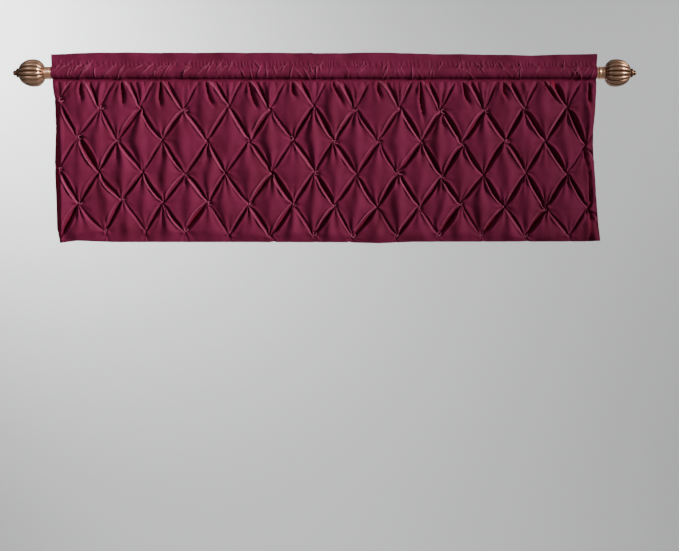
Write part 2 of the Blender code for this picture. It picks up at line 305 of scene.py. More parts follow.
@dataclass(frozen=True)
class AgedBronze:
    """Bronze-effect lacquer over cast resin, rubbed back: dark in the grooves and paler on the crests."""

    name: str
    groove: str = "2e1a10"
    crest: str = "7d5a45"
    # Colour of the crests where the lacquer is rubbed back.
    wear_and_painted_highlight: str = "a8856d"
    roughness: float = 0.34
    grain: float = 0.004

    def build(self) -> Material:
        """Make the material. Its wash follows the piece's crest attribute, from 0 in a groove to 1.

        Returns:
            The material.
        """
        material, tree, shader = new_material(self.name)
        place = add_node(tree, "ShaderNodeTexCoord").outputs["Object"]
        height = add_node(tree, "ShaderNodeAttribute", {"attribute_name": "crest"}).outputs["Fac"]
        grain = add_node(
            tree, "ShaderNodeTexNoise", None, {"Vector": place, "Scale": 1.0 / self.grain, "Detail": 4.0}
        )
        uneven = add_math(tree, "MULTIPLY_ADD", (grain.outputs["Fac"], 0.5, height))
        level = add_math(tree, "SUBTRACT", (uneven, 0.25))
        wash = add_node(tree, "ShaderNodeValToRGB", None, {"Fac": level})
        set_ramp(wash, ((0.10, srgb(self.groove)), (0.55, srgb(self.crest)), (1.0, srgb(self.wear_and_painted_highlight))))
        soft = add_math(tree, "MULTIPLY_ADD", (grain.outputs["Fac"], 0.22, self.roughness - 0.11))
        dents = add_relief(tree, grain.outputs["Fac"], 0.3, 0.0004)
        tree.links.new(wash.outputs["Color"], shader.inputs["Base Color"])
        tree.links.new(soft, shader.inputs["Roughness"])
        tree.links.new(dents, shader.inputs["Normal"])
        shader.inputs["Metallic"].default_value = 0.85
        return material


@dataclass(frozen=True)
class SatinBronze:
    """Drawn and lacquered steel in a light bronze colour, with faint marks round the tube from polishing."""

    name: str
    colour: str = "f0c0a0"
    shade: str = "cd9574"
    roughness: float = 0.30
    mark: float = 0.0011

    def build(self) -> Material:
        """Make the material. Its polishing marks are about 1 mm apart, coarser than real ones, to show.

        Returns:
            The material.
        """
        material, tree, shader = new_material(self.name)
        place = add_node(tree, "ShaderNodeTexCoord").outputs["Object"]
        stretched = add_node(
            tree, "ShaderNodeMapping", None, {"Vector": place, "Scale": (1.0 / self.mark, 18.0, 18.0)}
        ).outputs["Vector"]
        marks = add_node(tree, "ShaderNodeTexNoise", None, {"Vector": stretched, "Scale": 1.0, "Detail": 2.0})
        tint = add_node(tree, "ShaderNodeValToRGB", None, {"Fac": marks.outputs["Fac"]})
        set_ramp(tint, ((0.30, srgb(self.shade)), (0.68, srgb(self.colour))))
        soft = add_math(tree, "MULTIPLY_ADD", (marks.outputs["Fac"], 0.16, self.roughness - 0.08))
        dents = add_relief(tree, marks.outputs["Fac"], 0.15, 0.0002)
        tree.links.new(tint.outputs["Color"], shader.inputs["Base Color"])
        tree.links.new(soft, shader.inputs["Roughness"])
        tree.links.new(dents, shader.inputs["Normal"])
        shader.inputs["Metallic"].default_value = 0.9
        return material


@dataclass(frozen=True)
class SewingThread:
    """Spun polyester sewing thread, a touch lighter than the cloth and slightly hairy."""

    name: str
    colour: str = "5a1631"
    shade: str = "430e23"
    twist: float = 0.0008

    def build(self) -> Material:
        """Make the material. Its twist is drawn 0.8 mm long, about twice the real one.

        Returns:
            The material.
        """
        material, tree, shader = new_material(self.name)
        place = add_node(tree, "ShaderNodeTexCoord").outputs["Object"]
        twist = add_node(
            tree,
            "ShaderNodeTexWave",
            {"wave_type": "BANDS", "bands_direction": "DIAGONAL"},
            {"Vector": place, "Scale": 1.0 / self.twist / 3.2, "Distortion": 0.5},
        )
        tint = add_node(tree, "ShaderNodeValToRGB", None, {"Fac": twist.outputs["Fac"]})
        set_ramp(tint, ((0.2, srgb(self.shade)), (0.8, srgb(self.colour))))
        strands = add_relief(tree, twist.outputs["Fac"], 0.4, 0.0002)
        tree.links.new(tint.outputs["Color"], shader.inputs["Base Color"])
        tree.links.new(strands, shader.inputs["Normal"])
        shader.inputs["Roughness"].default_value = 0.7
        shader.inputs["Specular IOR Level"].default_value = 0.15
        return material


@dataclass(frozen=True)
class MattPaint:
    """Plain matt wall paint of the studio."""

    name: str
    colour: str = "e4e4e2"

    def build(self) -> Material:
        """Make the material, with the faint unevenness of rolled paint at about 8 mm.

        Returns:
            The material.
        """
        material, tree, shader = new_material(self.name)
        place = add_node(tree, "ShaderNodeTexCoord").outputs["Object"]
        roller = add_node(tree, "ShaderNodeTexNoise", None, {"Vector": place, "Scale": 120.0, "Detail": 2.0})
        bumps = add_relief(tree, roller.outputs["Fac"], 0.05, 0.0005)
        tree.links.new(bumps, shader.inputs["Normal"])
        shader.inputs["Base Color"].default_value = srgb(self.colour)
        shader.inputs["Roughness"].default_value = 0.95
        shader.inputs["Specular IOR Level"].default_value = 0.1
        return material


def add_mesh(
    name: str, points: Array, faces: list | Array, material: Material, edges: list | None = None
) -> Object:
    """Make a smooth-shaded mesh object at the origin.

    Args:
        name: Name of the object.
        points: Corner places in metres.
        faces: Corner numbers of each face.
        material: Finish of all faces.
        edges: Corner numbers of each loose edge.

    Returns:
        The new object.
    """
    mesh = bpy.data.meshes.new(name)
    listed = faces.tolist() if isinstance(faces, np.ndarray) else faces
    mesh.from_pydata(np.asarray(points, dtype=float).tolist(), edges or [], listed)
    mesh.update()
    mesh.polygons.foreach_set("use_smooth", [True] * len(mesh.polygons))
    mesh.materials.append(material)
    item = bpy.data.objects.new(name, mesh)
    bpy.context.scene.collection.objects.link(item)
    return item


def add_values(item: Object, name: str, values: Array) -> None:
    """Store one number for each point of a mesh, as an attribute."""
    item.data.attributes.new(name, "FLOAT", "POINT").data.foreach_set("value", values)


def settle(item: Object) -> Object:
    """Turn an object with live modifiers into a plain mesh of the same name.

    Args:
        item: The object, with its modifiers set.

    Returns:
        A new object at the origin that holds the evaluated mesh.
    """
    bpy.context.view_layer.update()
    graph = bpy.context.evaluated_depsgraph_get()
    mesh = bpy.data.meshes.new_from_object(item.evaluated_get(graph), depsgraph=graph)
    name = item.name
    bpy.data.objects.remove(item, do_unlink=True)
    mesh.name = name
    plain = bpy.data.objects.new(name, mesh)
    bpy.context.scene.collection.objects.link(plain)
    return plain


def new_tree(name: str, values: dict[str, float | int]) -> tuple[NodeTree, Node, Node]:
    """Make a Geometry Nodes tree with a geometry input and named ones.

    Args:
        name: Name of the tree.
        values: Value of each named input; a whole number makes a count.

    Returns:
        The tree, its input node and its output node.
    """
    tree = bpy.data.node_groups.new(name, "GeometryNodeTree")
    tree.interface.new_socket("Geometry", in_out="INPUT", socket_type="NodeSocketGeometry")
    for label, value in values.items():
        kind = Socket.COUNT if isinstance(value, int) else Socket.LENGTH
        tree.interface.new_socket(label, in_out="INPUT", socket_type=kind.value)
    tree.interface.new_socket("Geometry", in_out="OUTPUT", socket_type="NodeSocketGeometry")
    return tree, tree.nodes.new("NodeGroupInput"), tree.nodes.new("NodeGroupOutput")


def end_tree(tree: NodeTree, instances: NodeSocket, material: Material, result: Node) -> None:
    """Close a tree: real geometry, smooth, in one material.

    Args:
        tree: The tree.
        instances: Output that holds the shapes.
        material: Finish of all of them.
        result: The tree's output node.
    """
    real = add_node(tree, "GeometryNodeRealizeInstances", None, {"Geometry": instances})
    smooth = add_node(tree, "GeometryNodeSetShadeSmooth", None, {"Geometry": real.outputs["Geometry"]})
    finished = add_node(
        tree, "GeometryNodeSetMaterial", None, {"Geometry": smooth.outputs["Geometry"], "Material": material}
    )
    tree.links.new(finished.outputs["Geometry"], result.inputs["Geometry"])


def run_tree(item: Object, tree: NodeTree, values: dict[str, float | int]) -> Object:
    """Grow an object by a node tree and keep the plain result.

    Args:
        item: Object whose mesh the tree starts from.
        tree: The tree.
        values: Value of each named input.

    Returns:
        A plain mesh object of the same name.
    """
    grown = item.modifiers.new("nodes", "NODES")
    grown.node_group = tree
    for socket in tree.interface.items_tree:
        if socket.in_out == "INPUT" and socket.name in values:
            grown[socket.identifier] = values[socket.name]
    return settle(item)


def face_outwards(item: Object) -> None:
    """Point the faces of a closed shape away from its inside.

    Args:
        item: Object that holds the shape.
    """
    shape = bmesh.new()
    shape.from_mesh(item.data)
    bmesh.ops.recalc_face_normals(shape, faces=shape.faces)
    shape.to_mesh(item.data)
    shape.free()


def face_forwards(item: Object) -> None:
    """Turn an open sheet so that most of its faces look to the front, which is -Y.

    Args:
        item: Object that holds the sheet.
    """
    shape = bmesh.new()
    shape.from_mesh(item.data)
    bmesh.ops.recalc_face_normals(shape, faces=shape.faces)
    if sum(face.normal.y * face.calc_area() for face in shape.faces) > 0.0:
        bmesh.ops.reverse_faces(shape, faces=shape.faces)
    shape.to_mesh(item.data)
    shape.free()


# Tucks of each row from left to right, as (x, z) in millimetres. Row 0 stands hidden above the seam.
TUCKS_MM = {
    0: (
        (-608, 10), (-505, 10), (-409, 10), (-296, 10), (-189, 10), (-82, 10), (22, 10),
        (133, 10), (239, 10), (345, 10), (446, 10), (550, 10), (660, 10),
    ),
    1: (
        (-661, -70), (-559, -89), (-456, -87), (-350, -95), (-236, -83), (-133, -93), (-25, -83),
        (79, -93), (190, -89), (292, -95), (401, -95), (499, -90), (607, -87),
    ),
    2: (
        (-613, -160), (-515, -170), (-402, -168), (-290, -170), (-184, -170), (-77, -168), (25, -172),
        (137, -172), (244, -172), (346, -178), (452, -170), (552, -172), (651, -184),
    ),
    3: (
        (-660, -238), (-560, -247), (-451, -248), (-345, -254), (-245, -251), (-129, -250), (-23, -248),
        (82, -255), (185, -250), (294, -262), (398, -256), (504, -250), (606, -252),
    ),
    4: (
        (-611, -327), (-503, -316), (-400, -324), (-289, -324), (-186, -329), (-77, -328), (28, -331),
        (134, -336), (237, -336), (341, -327), (451, -335), (554, -340), (657, -339),
    ),
    5: (
        (-656, -411), (-543, -396), (-444, -396), (-346, -396), (-236, -407), (-131, -409), (-25, -407),
        (70, -411), (180, -409), (284, -407), (392, -407), (502, -409), (612, -407),
    ),
}

# Valleys that run down from the seam: top x, sideways drift and length, in millimetres, and depth share
SLOTS_MM = (
    (-608, 3, 58, 1.0), (-505, 5, 70, 1.0), (-409, 0, 72, 1.0), (-296, 22, 72, 1.0), (-189, 24, 76, 1.0),
    (-82, 11, 50, 0.9), (22, 32, 72, 0.8), (133, 7, 56, 0.9), (239, 8, 110, 1.0), (345, 19, 70, 1.0),
    (446, 9, 56, 1.0), (550, 40, 60, 0.8), (660, 2, 84, 1.0),
)

# Creases that leave each tuck downwards, from left to right along its row: width share and bow in millimetres
# of the one to the lower left, then of the one to the lower right. A bow is positive to the right.
CREASES = {
    0: (
        (0.5, 0, 0.9, 3), (0.4, 0, 0.8, 0), (0.4, 0, 0.9, -4), (0.4, 0, 0.9, 0), (0.4, 0, 1.0, 0),
        (0.4, 0, 1.1, 0), (0.4, 0, 0.9, 2), (0.4, 0, 0.8, 0), (0.4, 0, 1.1, 2), (0.4, 0, 0.9, 0),
        (0.5, 0, 1.0, 0), (0.5, 0, 1.7, 3), (0.5, 0, 0.8, 0),
    ),
    1: (
        (0.5, 0, 1.0, -3), (0.6, 3, 0.7, 0), (1.0, 0, 1.0, -8), (1.0, 0, 0.8, 5), (0.8, 0, 0.9, 0),
        (1.2, 0, 0.5, 0), (1.3, 0, 1.3, 0), (0.9, 0, 0.8, -1), (0.9, -3, 1.4, 2), (1.0, 0, 1.4, 3),
        (1.8, 0, 1.3, 0), (1.5, 0, 1.6, 0), (1.1, 0, 1.8, 0),
    ),
    2: (
        (0.5, 0, 2.2, 0), (1.2, 0, 1.1, 0), (0.5, 0, 0.9, -3), (0.9, 3, 0.8, -2), (0.8, 0, 0.9, 2),
        (0.7, 0, 0.9, 3), (0.8, 0, 1.3, 0), (1.5, 0, 0.5, -6), (1.3, 3, 1.3, 0), (1.6, 0, 1.3, -3),
        (1.5, -3, 1.2, 7), (1.1, -2, 1.7, 0), (0.3, 0, 0.8, 0),
    ),
    3: (
        (0.5, 0, 1.2, 0), (1.0, 0, 1.1, -8), (1.3, 0, 1.0, -6), (1.1, 0, 1.0, 7), (0.9, 0, 0.8, -4),
        (1.2, 0, 1.6, 0), (1.2, 0, 1.4, 0), (1.2, 0, 0.8, -6), (1.4, 0, 1.0, 0), (1.2, 3, 1.0, -4),
        (1.1, 0, 1.3, -5), (1.2, 0, 1.3, 0), (1.2, 0, 1.2, 0),
    ),
    4: (
        (2.3, 0, 0.5, -8), (1.5, 0, 0.4, 0), (1.2, 0, 0.9, -5), (2.0, 0, 0.4, 0), (1.0, 0, 1.0, 0),
        (1.9, 0, 0.5, 0), (1.3, 0, 0.4, 0), (1.6, 0, 0.4, 0), (1.4, 0, 0.4, 0), (2.0, 0, 0.5, 0),
        (1.5, 0, 0.6, 0), (2.0, 0, 0.5, 0), (0.7, 0, 0.5, 0),
    ),
}

# Curled ears beside tucks: row and column of the tuck, angle from it in degrees (0 right, 90 up), size share
CURLS = (
    (1, 0, 5, 1.3), (1, 1, 15, 1.2), (1, 3, 20, 1.1), (1, 7, -50, 0.9), (1, 9, -30, 1.2),
    (1, 10, -20, 1.0), (1, 11, 0, 0.7), (2, 0, -25, 1.1), (2, 1, 0, 0.7), (2, 5, 135, 1.2),
    (2, 6, -20, 1.0), (2, 7, -5, 0.7), (2, 8, -60, 0.8), (2, 9, -60, 0.7), (2, 10, -20, 1.2),
    (3, 0, -45, 1.0), (3, 3, -40, 0.9), (3, 6, -30, 1.2), (3, 8, -10, 1.2), (3, 9, 25, 0.8),
    (4, 0, 30, 1.0), (4, 1, 5, 0.9), (4, 3, -35, 1.0), (4, 4, 10, 0.9), (4, 5, -10, 0.8), (4, 6, 0, 0.6),
    (4, 8, -45, 0.8), (4, 9, -45, 0.8), (4, 11, -70, 0.7), (5, 1, 100, 0.9), (5, 3, 55, 1.1),
    (5, 6, 60, 1.0), (5, 7, 50, 1.2), (5, 8, 60, 0.9), (5, 9, 55, 1.2), (5, 10, 75, 1.0),
    (5, 11, 60, 0.9),
)

# Outline of the cloth in millimetres: side edges by height, bottom and top edges by place along the rod
LEFT_EDGE_MM = (
    (48, -683), (-15, -679), (-63, -673), (-138, -670), (-232, -673), (-318, -669), (-388, -667),
    (-422, -660),
)
RIGHT_EDGE_MM = (
    (48, 683), (-18, 680), (-93, 676), (-138, 672), (-180, 671), (-255, 675), (-318, 680), (-373, 683),
    (-418, 689),
)
HEM_MM = (
    (-683, -425), (-660, -425), (-642, -423), (-618, -420), (-605, -420), (-528, -423), (-200, -423),
    (50, -423.5), (135, -426), (220, -422.5), (650, -421.5), (683, -420),
)
HEADER_MM = (
    (-683, 48), (-560, 52), (-30, 51.5), (-26, 50), (160, 52), (230, 49.5), (515, 45), (630, 48), (683, 48.5),
)


def outline(table: tuple[tuple[float, float], ...], at: Array) -> Array:
    """Second column of an outline table at values of its first column, all in metres."""
    rows = sorted(table)
    return np.interp(at, [row[0] * MM for row in rows], [row[1] * MM for row in rows])


def beside_tuck(row: int, column: int, degrees: float, reach: float) -> tuple[float, float]:
    """Find a place a short way from a tuck.

    Args:
        row: Row of the tuck.
        column: Its number in the row.
        degrees: Angle from the tuck, 0 to the right and 90 up.
        reach: How far from it.

    Returns:
        Place along X and Z.
    """
    angle = math.radians(degrees)
    x, z = TUCKS_MM[row][column]
    return x * MM + reach * math.cos(angle), z * MM + reach * math.sin(angle)


@dataclass(frozen=True)
class SeamFall:
    """Valleys, puckers and slack folds of the cloth where it falls from the seam."""

    seam: float
    standing: float
    held_length: float = 0.026
    held_forward: float = 0.0030
    held_relief: float = 0.25
    valley_depth: float = 0.0165
    valley_left: float = 0.0026
    valley_right_top: float = 0.0034
    valley_right_low: float = 0.0070
    valley_sway: float = 0.0012
    lip_height: float = 0.0020
    pucker_pitch: float = 0.0195
    pucker_height: float = 0.0062
    pucker_length: float = 0.019
    tooth_pitch: float = 0.0078
    tooth_height: float = 0.0024
    tooth_length: float = 0.008
    slack_height: float = 0.0032
    slack_top: float = 0.0065
    slack_low: float = 0.0034
    slack_lean: float = 0.006
    crumple_height: float = 0.00055
    crumple_length: float = 0.030
    sag_height: float = 0.0009
    sag_length: float = 0.085

    def add(self, x: Array, z: Array, front: Array) -> tuple[Array, Array]:
        """Add all of them to the cloth.

        Args:
            x: Place of each point along the rod.
            z: Its height.
            front: How far it stands out so far.

        Returns:
            How far it stands out with them, and the painted shade share of each point in a valley, from 0 to
            1.
        """
        down = self.seam - z
        held = self.standing + self.held_forward + self.held_relief * (front - self.standing)
        front = mix(held, front, ease(down / self.held_length))
        front, painted_crease_shade = self.add_valleys(x, down, front)
        front = front + self.puckers(x, z, down)
        front = front + self.teeth(x, down)
        front = self.add_slack(x, down, front)
        crumple = self.crumple_height * ripples(x, z, self.crumple_length, 41)
        return front + crumple + self.sag_height * ripples(x, z, self.sag_length, 42), painted_crease_shade

    def add_valleys(self, x: Array, down: Array, front: Array) -> tuple[Array, Array]:
        """Sink the valleys of the table, steep on the left and wide on the right, with a lip on both sides.

        Args:
            x: Place of each point along the rod.
            down: How far it lies below the seam.
            front: How far it stands out so far.

        Returns:
            How far it stands out with them, and how sunken it is, from 0 to 1.
        """
        painted_crease_shade = np.zeros_like(x)
        for top, drift, length, deep in SLOTS_MM:
            along = np.clip(down / (length * MM), 0.0, 1.3)
            centre = top * MM + drift * MM * along**1.4
            centre = centre + self.valley_sway * np.sin(along * 9.0 + top)
            off = x - centre
            lens = 0.35 + 0.65 * np.sin(math.pi * np.clip(along * 0.95, 0.0, 1.0)) ** 0.8
            left = bump(off, 0.0, self.valley_left * lens)
            right = bump(off, 0.0, mix(self.valley_right_top, self.valley_right_low, along) * lens)
            hollow = np.where(off < 0.0, left, right)
            fade = (1.0 - ease((along - 0.60) / 0.50)) * mix(0.35, 1.0, ease(down / 0.016))
            fade = fade * ease((down + 0.001) / 0.005)
            front = front - self.valley_depth * deep * hollow * fade
            # Painted shade in the deep part of each valley.
            painted_crease_shade = np.maximum(painted_crease_shade, deep * ease(hollow * fade * 1.3 - 0.25))
            lip = bump(off, -0.0068, 0.0036) + 0.6 * bump(off, 0.0150, 0.0050)
            front = front + self.lip_height * lip * fade
        return front, painted_crease_shade

    def puckers(self, x: Array, z: Array, down: Array) -> Array:
        """Rounded gathers that hang from the seam, uneven in pitch and height.

        Args:
            x: Place of each point along the rod.
            z: Its height.
            down: How far it lies below the seam.

        Returns:
            Height of the gathers.
        """
        phase = math.tau * x / self.pucker_pitch + 1.9 * ripples(x, x * 0.0, 0.11, 31)
        phase = phase + 0.9 * ripples(x, z, 0.05, 32)
        wave = np.abs(np.sin(phase / 2.0)) ** 0.75
        near = np.exp(-np.clip(down, 0.0, 1.0) / self.pucker_length)
        return (wave - 0.55) * self.pucker_height * near * (1.0 + 0.5 * ripples(x, x * 0.0, 0.16, 33))

    def teeth(self, x: Array, down: Array) -> Array:
        """Fine close gathers right under the seam.

        Args:
            x: Place of each point along the rod.
            down: How far it lies below the seam.

        Returns:
            Height of the gathers.
        """
        phase = math.pi * x / self.tooth_pitch + 2.2 * ripples(x, x * 0.0, 0.06, 34) + 25.0 * down
        teeth = np.abs(np.sin(phase)) ** 0.8
        return (teeth - 0.6) * self.tooth_height * np.exp(-np.clip(down, 0.0, 1.0) / self.tooth_length)

    def add_slack(self, x: Array, down: Array, front: Array) -> Array:
        """Add a slack fold from the seam to each tuck of the first row; every third one falls in.

        Args:
            x: Place of each point along the rod.
            down: How far it lies below the seam.
            front: How far it stands out so far.

        Returns:
            How far it stands out with the folds.
        """
        for index, (tuck_x, tuck_z) in enumerate(TUCKS_MM[1]):
            span = self.seam - tuck_z * MM
            along = np.clip(down / span, 0.0, 1.0)
            lean = self.slack_lean * math.sin(2.3 * index)
            off = x - (tuck_x * MM + lean * (1.0 - along))
            width = mix(self.slack_top, self.slack_low, along)
            fold = bump(off, 0.0, width) * ease(down / 0.006) * (1.0 - ease((along - 0.88) / 0.12))
            front = front + fold * self.slack_height * (1.0 if index % 3 else -0.9) * (down < span)
        return front


@dataclass(frozen=True)
class TuckPinch:
    """Twist, pull and short rays in the cloth around each tuck, where a stitch holds a pinch of it."""

    rows: int
    seed: int
    reach: float = 0.020
    core: float = 0.004
    ring: float = 0.0062
    ring_width: float = 0.0034
    dimple: float = 0.0008
    ray_reach: float = 0.042
    ray_width: float = 0.0013
    ray_widening: float = 0.085
    rays: tuple[tuple[float, float], ...] = (
        (-1.75, 0.9), (-1.35, 0.8), (1.35, 0.7), (1.75, 0.7), (-0.25, 0.6), (2.9, 0.5),
    )

    def add(self, x: Array, z: Array, front: Array) -> tuple[Array, Array, Array]:
        """Pinch the cloth at all the tucks. The one in the bottom left corner is sewn flat.

        Args:
            x: Place of each point along the rod.
            z: Its height.
            front: How far it stands out.

        Returns:
            The three with the pinches.
        """
        draw = np.random.default_rng(self.seed)
        corner = (self.rows - 1, TUCKS_MM[self.rows - 1][0][0])
        for row in range(1, self.rows):
            for tuck_x, tuck_z in TUCKS_MM[row]:
                off_x, off_z = x - tuck_x * MM, z - tuck_z * MM
                reached = np.hypot(off_x, off_z) < self.ray_reach
                front[reached] += self.ray_heights(off_x[reached], off_z[reached], draw, row)
                free = 0.0 if (row, tuck_x) == corner else 1.0
                angle = draw.uniform(-0.55, 0.75) * free
                lift = draw.uniform(0.0006, 0.0022)
                pull = draw.uniform(0.10, 0.30) * free
                side = draw.uniform(0.0, math.tau)
                away = np.hypot(off_x, off_z)
                close = away < self.reach
                off_x, off_z, away = off_x[close], off_z[close], away[close]
                hold = ease(1.0 - away / self.reach)
                turn = angle * hold
                shrink = 1.0 - pull * hold * ease(away / self.core)
                new_x = (off_x * np.cos(turn) - off_z * np.sin(turn)) * shrink
                new_z = (off_x * np.sin(turn) + off_z * np.cos(turn)) * shrink
                x[close] = tuck_x * MM + new_x
                z[close] = tuck_z * MM + new_z
                toward = 0.5 + 0.5 * np.cos(np.arctan2(new_z, new_x) - side)
                raised = lift * bump(away, self.ring, self.ring_width) * (0.4 + 1.2 * toward)
                front[close] += raised - self.dimple * bump(away, 0.0, 0.003)
        return x, z, front

    def ray_heights(self, off_x: Array, off_z: Array, draw: np.random.Generator, row: int) -> Array:
        """Short sharp creases that run out from a tuck, each with a small lip beside it.

        Args:
            off_x: Place beside the tuck of each point near it.
            off_z: Height above the tuck.
            draw: Source of the chance in them.
            row: Row of the tuck.

        Returns:
            Height of the creases.
        """
        total = np.zeros_like(off_x)
        for middle, likely in self.rays:
            angle = middle + draw.normal(0.0, 0.16)
            length = draw.uniform(0.015, 0.040)
            depth = draw.uniform(0.0010, 0.0030) * (draw.uniform() < likely)
            bend = draw.normal(0.0, 5.0)
            if row == self.rows - 1 and angle < 0.0:
                continue
            along = off_x * math.cos(angle) + off_z * math.sin(angle)
            aside = off_z * math.cos(angle) - off_x * math.sin(angle) - bend * along * np.abs(along)
            width = self.ray_width + self.ray_widening * np.clip(along, 0.0, 0.05)
            run = ease(along / self.core) * (1.0 - ease((along - 0.30 * length) / (0.70 * length)))
            total += depth * run * (0.6 * bump(aside, 1.9 * width, 1.1 * width) - bump(aside, 0.0, width))
        return total


@dataclass(frozen=True)
class CurlPits:
    """Pits pressed into the cloth where a curled ear stands beside its tuck."""

    radius: float = 0.0062
    depth: float = 0.0048

    def add(self, x: Array, z: Array, front: Array) -> tuple[Array, Array]:
        """Press the pits in.

        Args:
            x: Place of each point along the rod.
            z: Its height.
            front: How far it stands out so far.

        Returns:
            How far it stands out with the pits, and each point's depth share in them, from 0 to 1, used as
            painted shade.
        """
        pit_shade = np.zeros_like(x)
        for row, column, degrees, size in CURLS:
            centre_x, centre_z = beside_tuck(row, column, degrees, self.radius * size)
            away = np.hypot(x - centre_x, z - centre_z)
            hollow = np.exp(-((away / (self.radius * size)) ** 4))
            front = front - self.depth * hollow
            pit_shade = np.maximum(pit_shade, hollow)
        return front, pit_shade


@dataclass(frozen=True)
class SideHems:
    """Slanting band of the turned hem on the left, and the valley beside the hem on the right."""

    band: float = 0.0150
    band_top: float = -0.058
    sway: float = 0.0012
    sway_pitch: float = 0.021
    roll: float = 0.0030
    roll_width: float = 0.0032
    valley_top: float = -0.165
    valley_depth: float = 0.0090
    valley_inset: float = 0.0135
    valley_outer: float = 0.0024
    valley_inner: float = 0.0042
    lip: float = 0.0026
    band_shade: float = 0.85
    valley_shade: float = 0.80

    def add(self, z: Array, front: Array, from_left: Array, from_right: Array) -> tuple[Array, Array]:
        """Turn the left hem back and sink the valley beside the right one.

        Args:
            z: Height of each point.
            front: How far it stands out so far.
            from_left: Distance from the left edge.
            from_right: Distance from the right edge.

        Returns:
            How far it stands out with them, and the painted shade share there, from 0 to 1.
        """
        low = ease((self.band_top - z) / 0.022)
        across = np.clip(from_left / self.band, 0.0, 1.0)
        phase = z * math.tau / self.sway_pitch + 3.0 * ripples(z, z * 0.0, 0.07, 61)
        wavy = self.sway * np.sin(phase) * bump(across, 0.55, 0.30)
        slanted = front * across + wavy + self.roll * bump(from_left, self.band * 1.12, self.roll_width)
        front = mix(front, slanted, low)
        centre = self.valley_inset + 0.0080 * np.clip((z + 0.260) / 0.070, 0.0, 1.0)
        centre = centre + 0.0030 * ease((-0.310 - z) / 0.080)
        width = np.where(from_right > centre, self.valley_inner, self.valley_outer)
        valley = bump(from_right, centre, width) * ease((self.valley_top - z) / 0.025)
        # Painted shade on the turned band and in the right valley.
        shaded = np.maximum(
            self.band_shade * low * (1.0 - ease((across - 0.50) / 0.50)),
            self.valley_shade * ease(1.4 * valley - 0.3),
        )
        lip = self.lip * bump(from_right, centre - 0.0060, 0.0035) * low
        return front - self.valley_depth * valley + lip, shaded


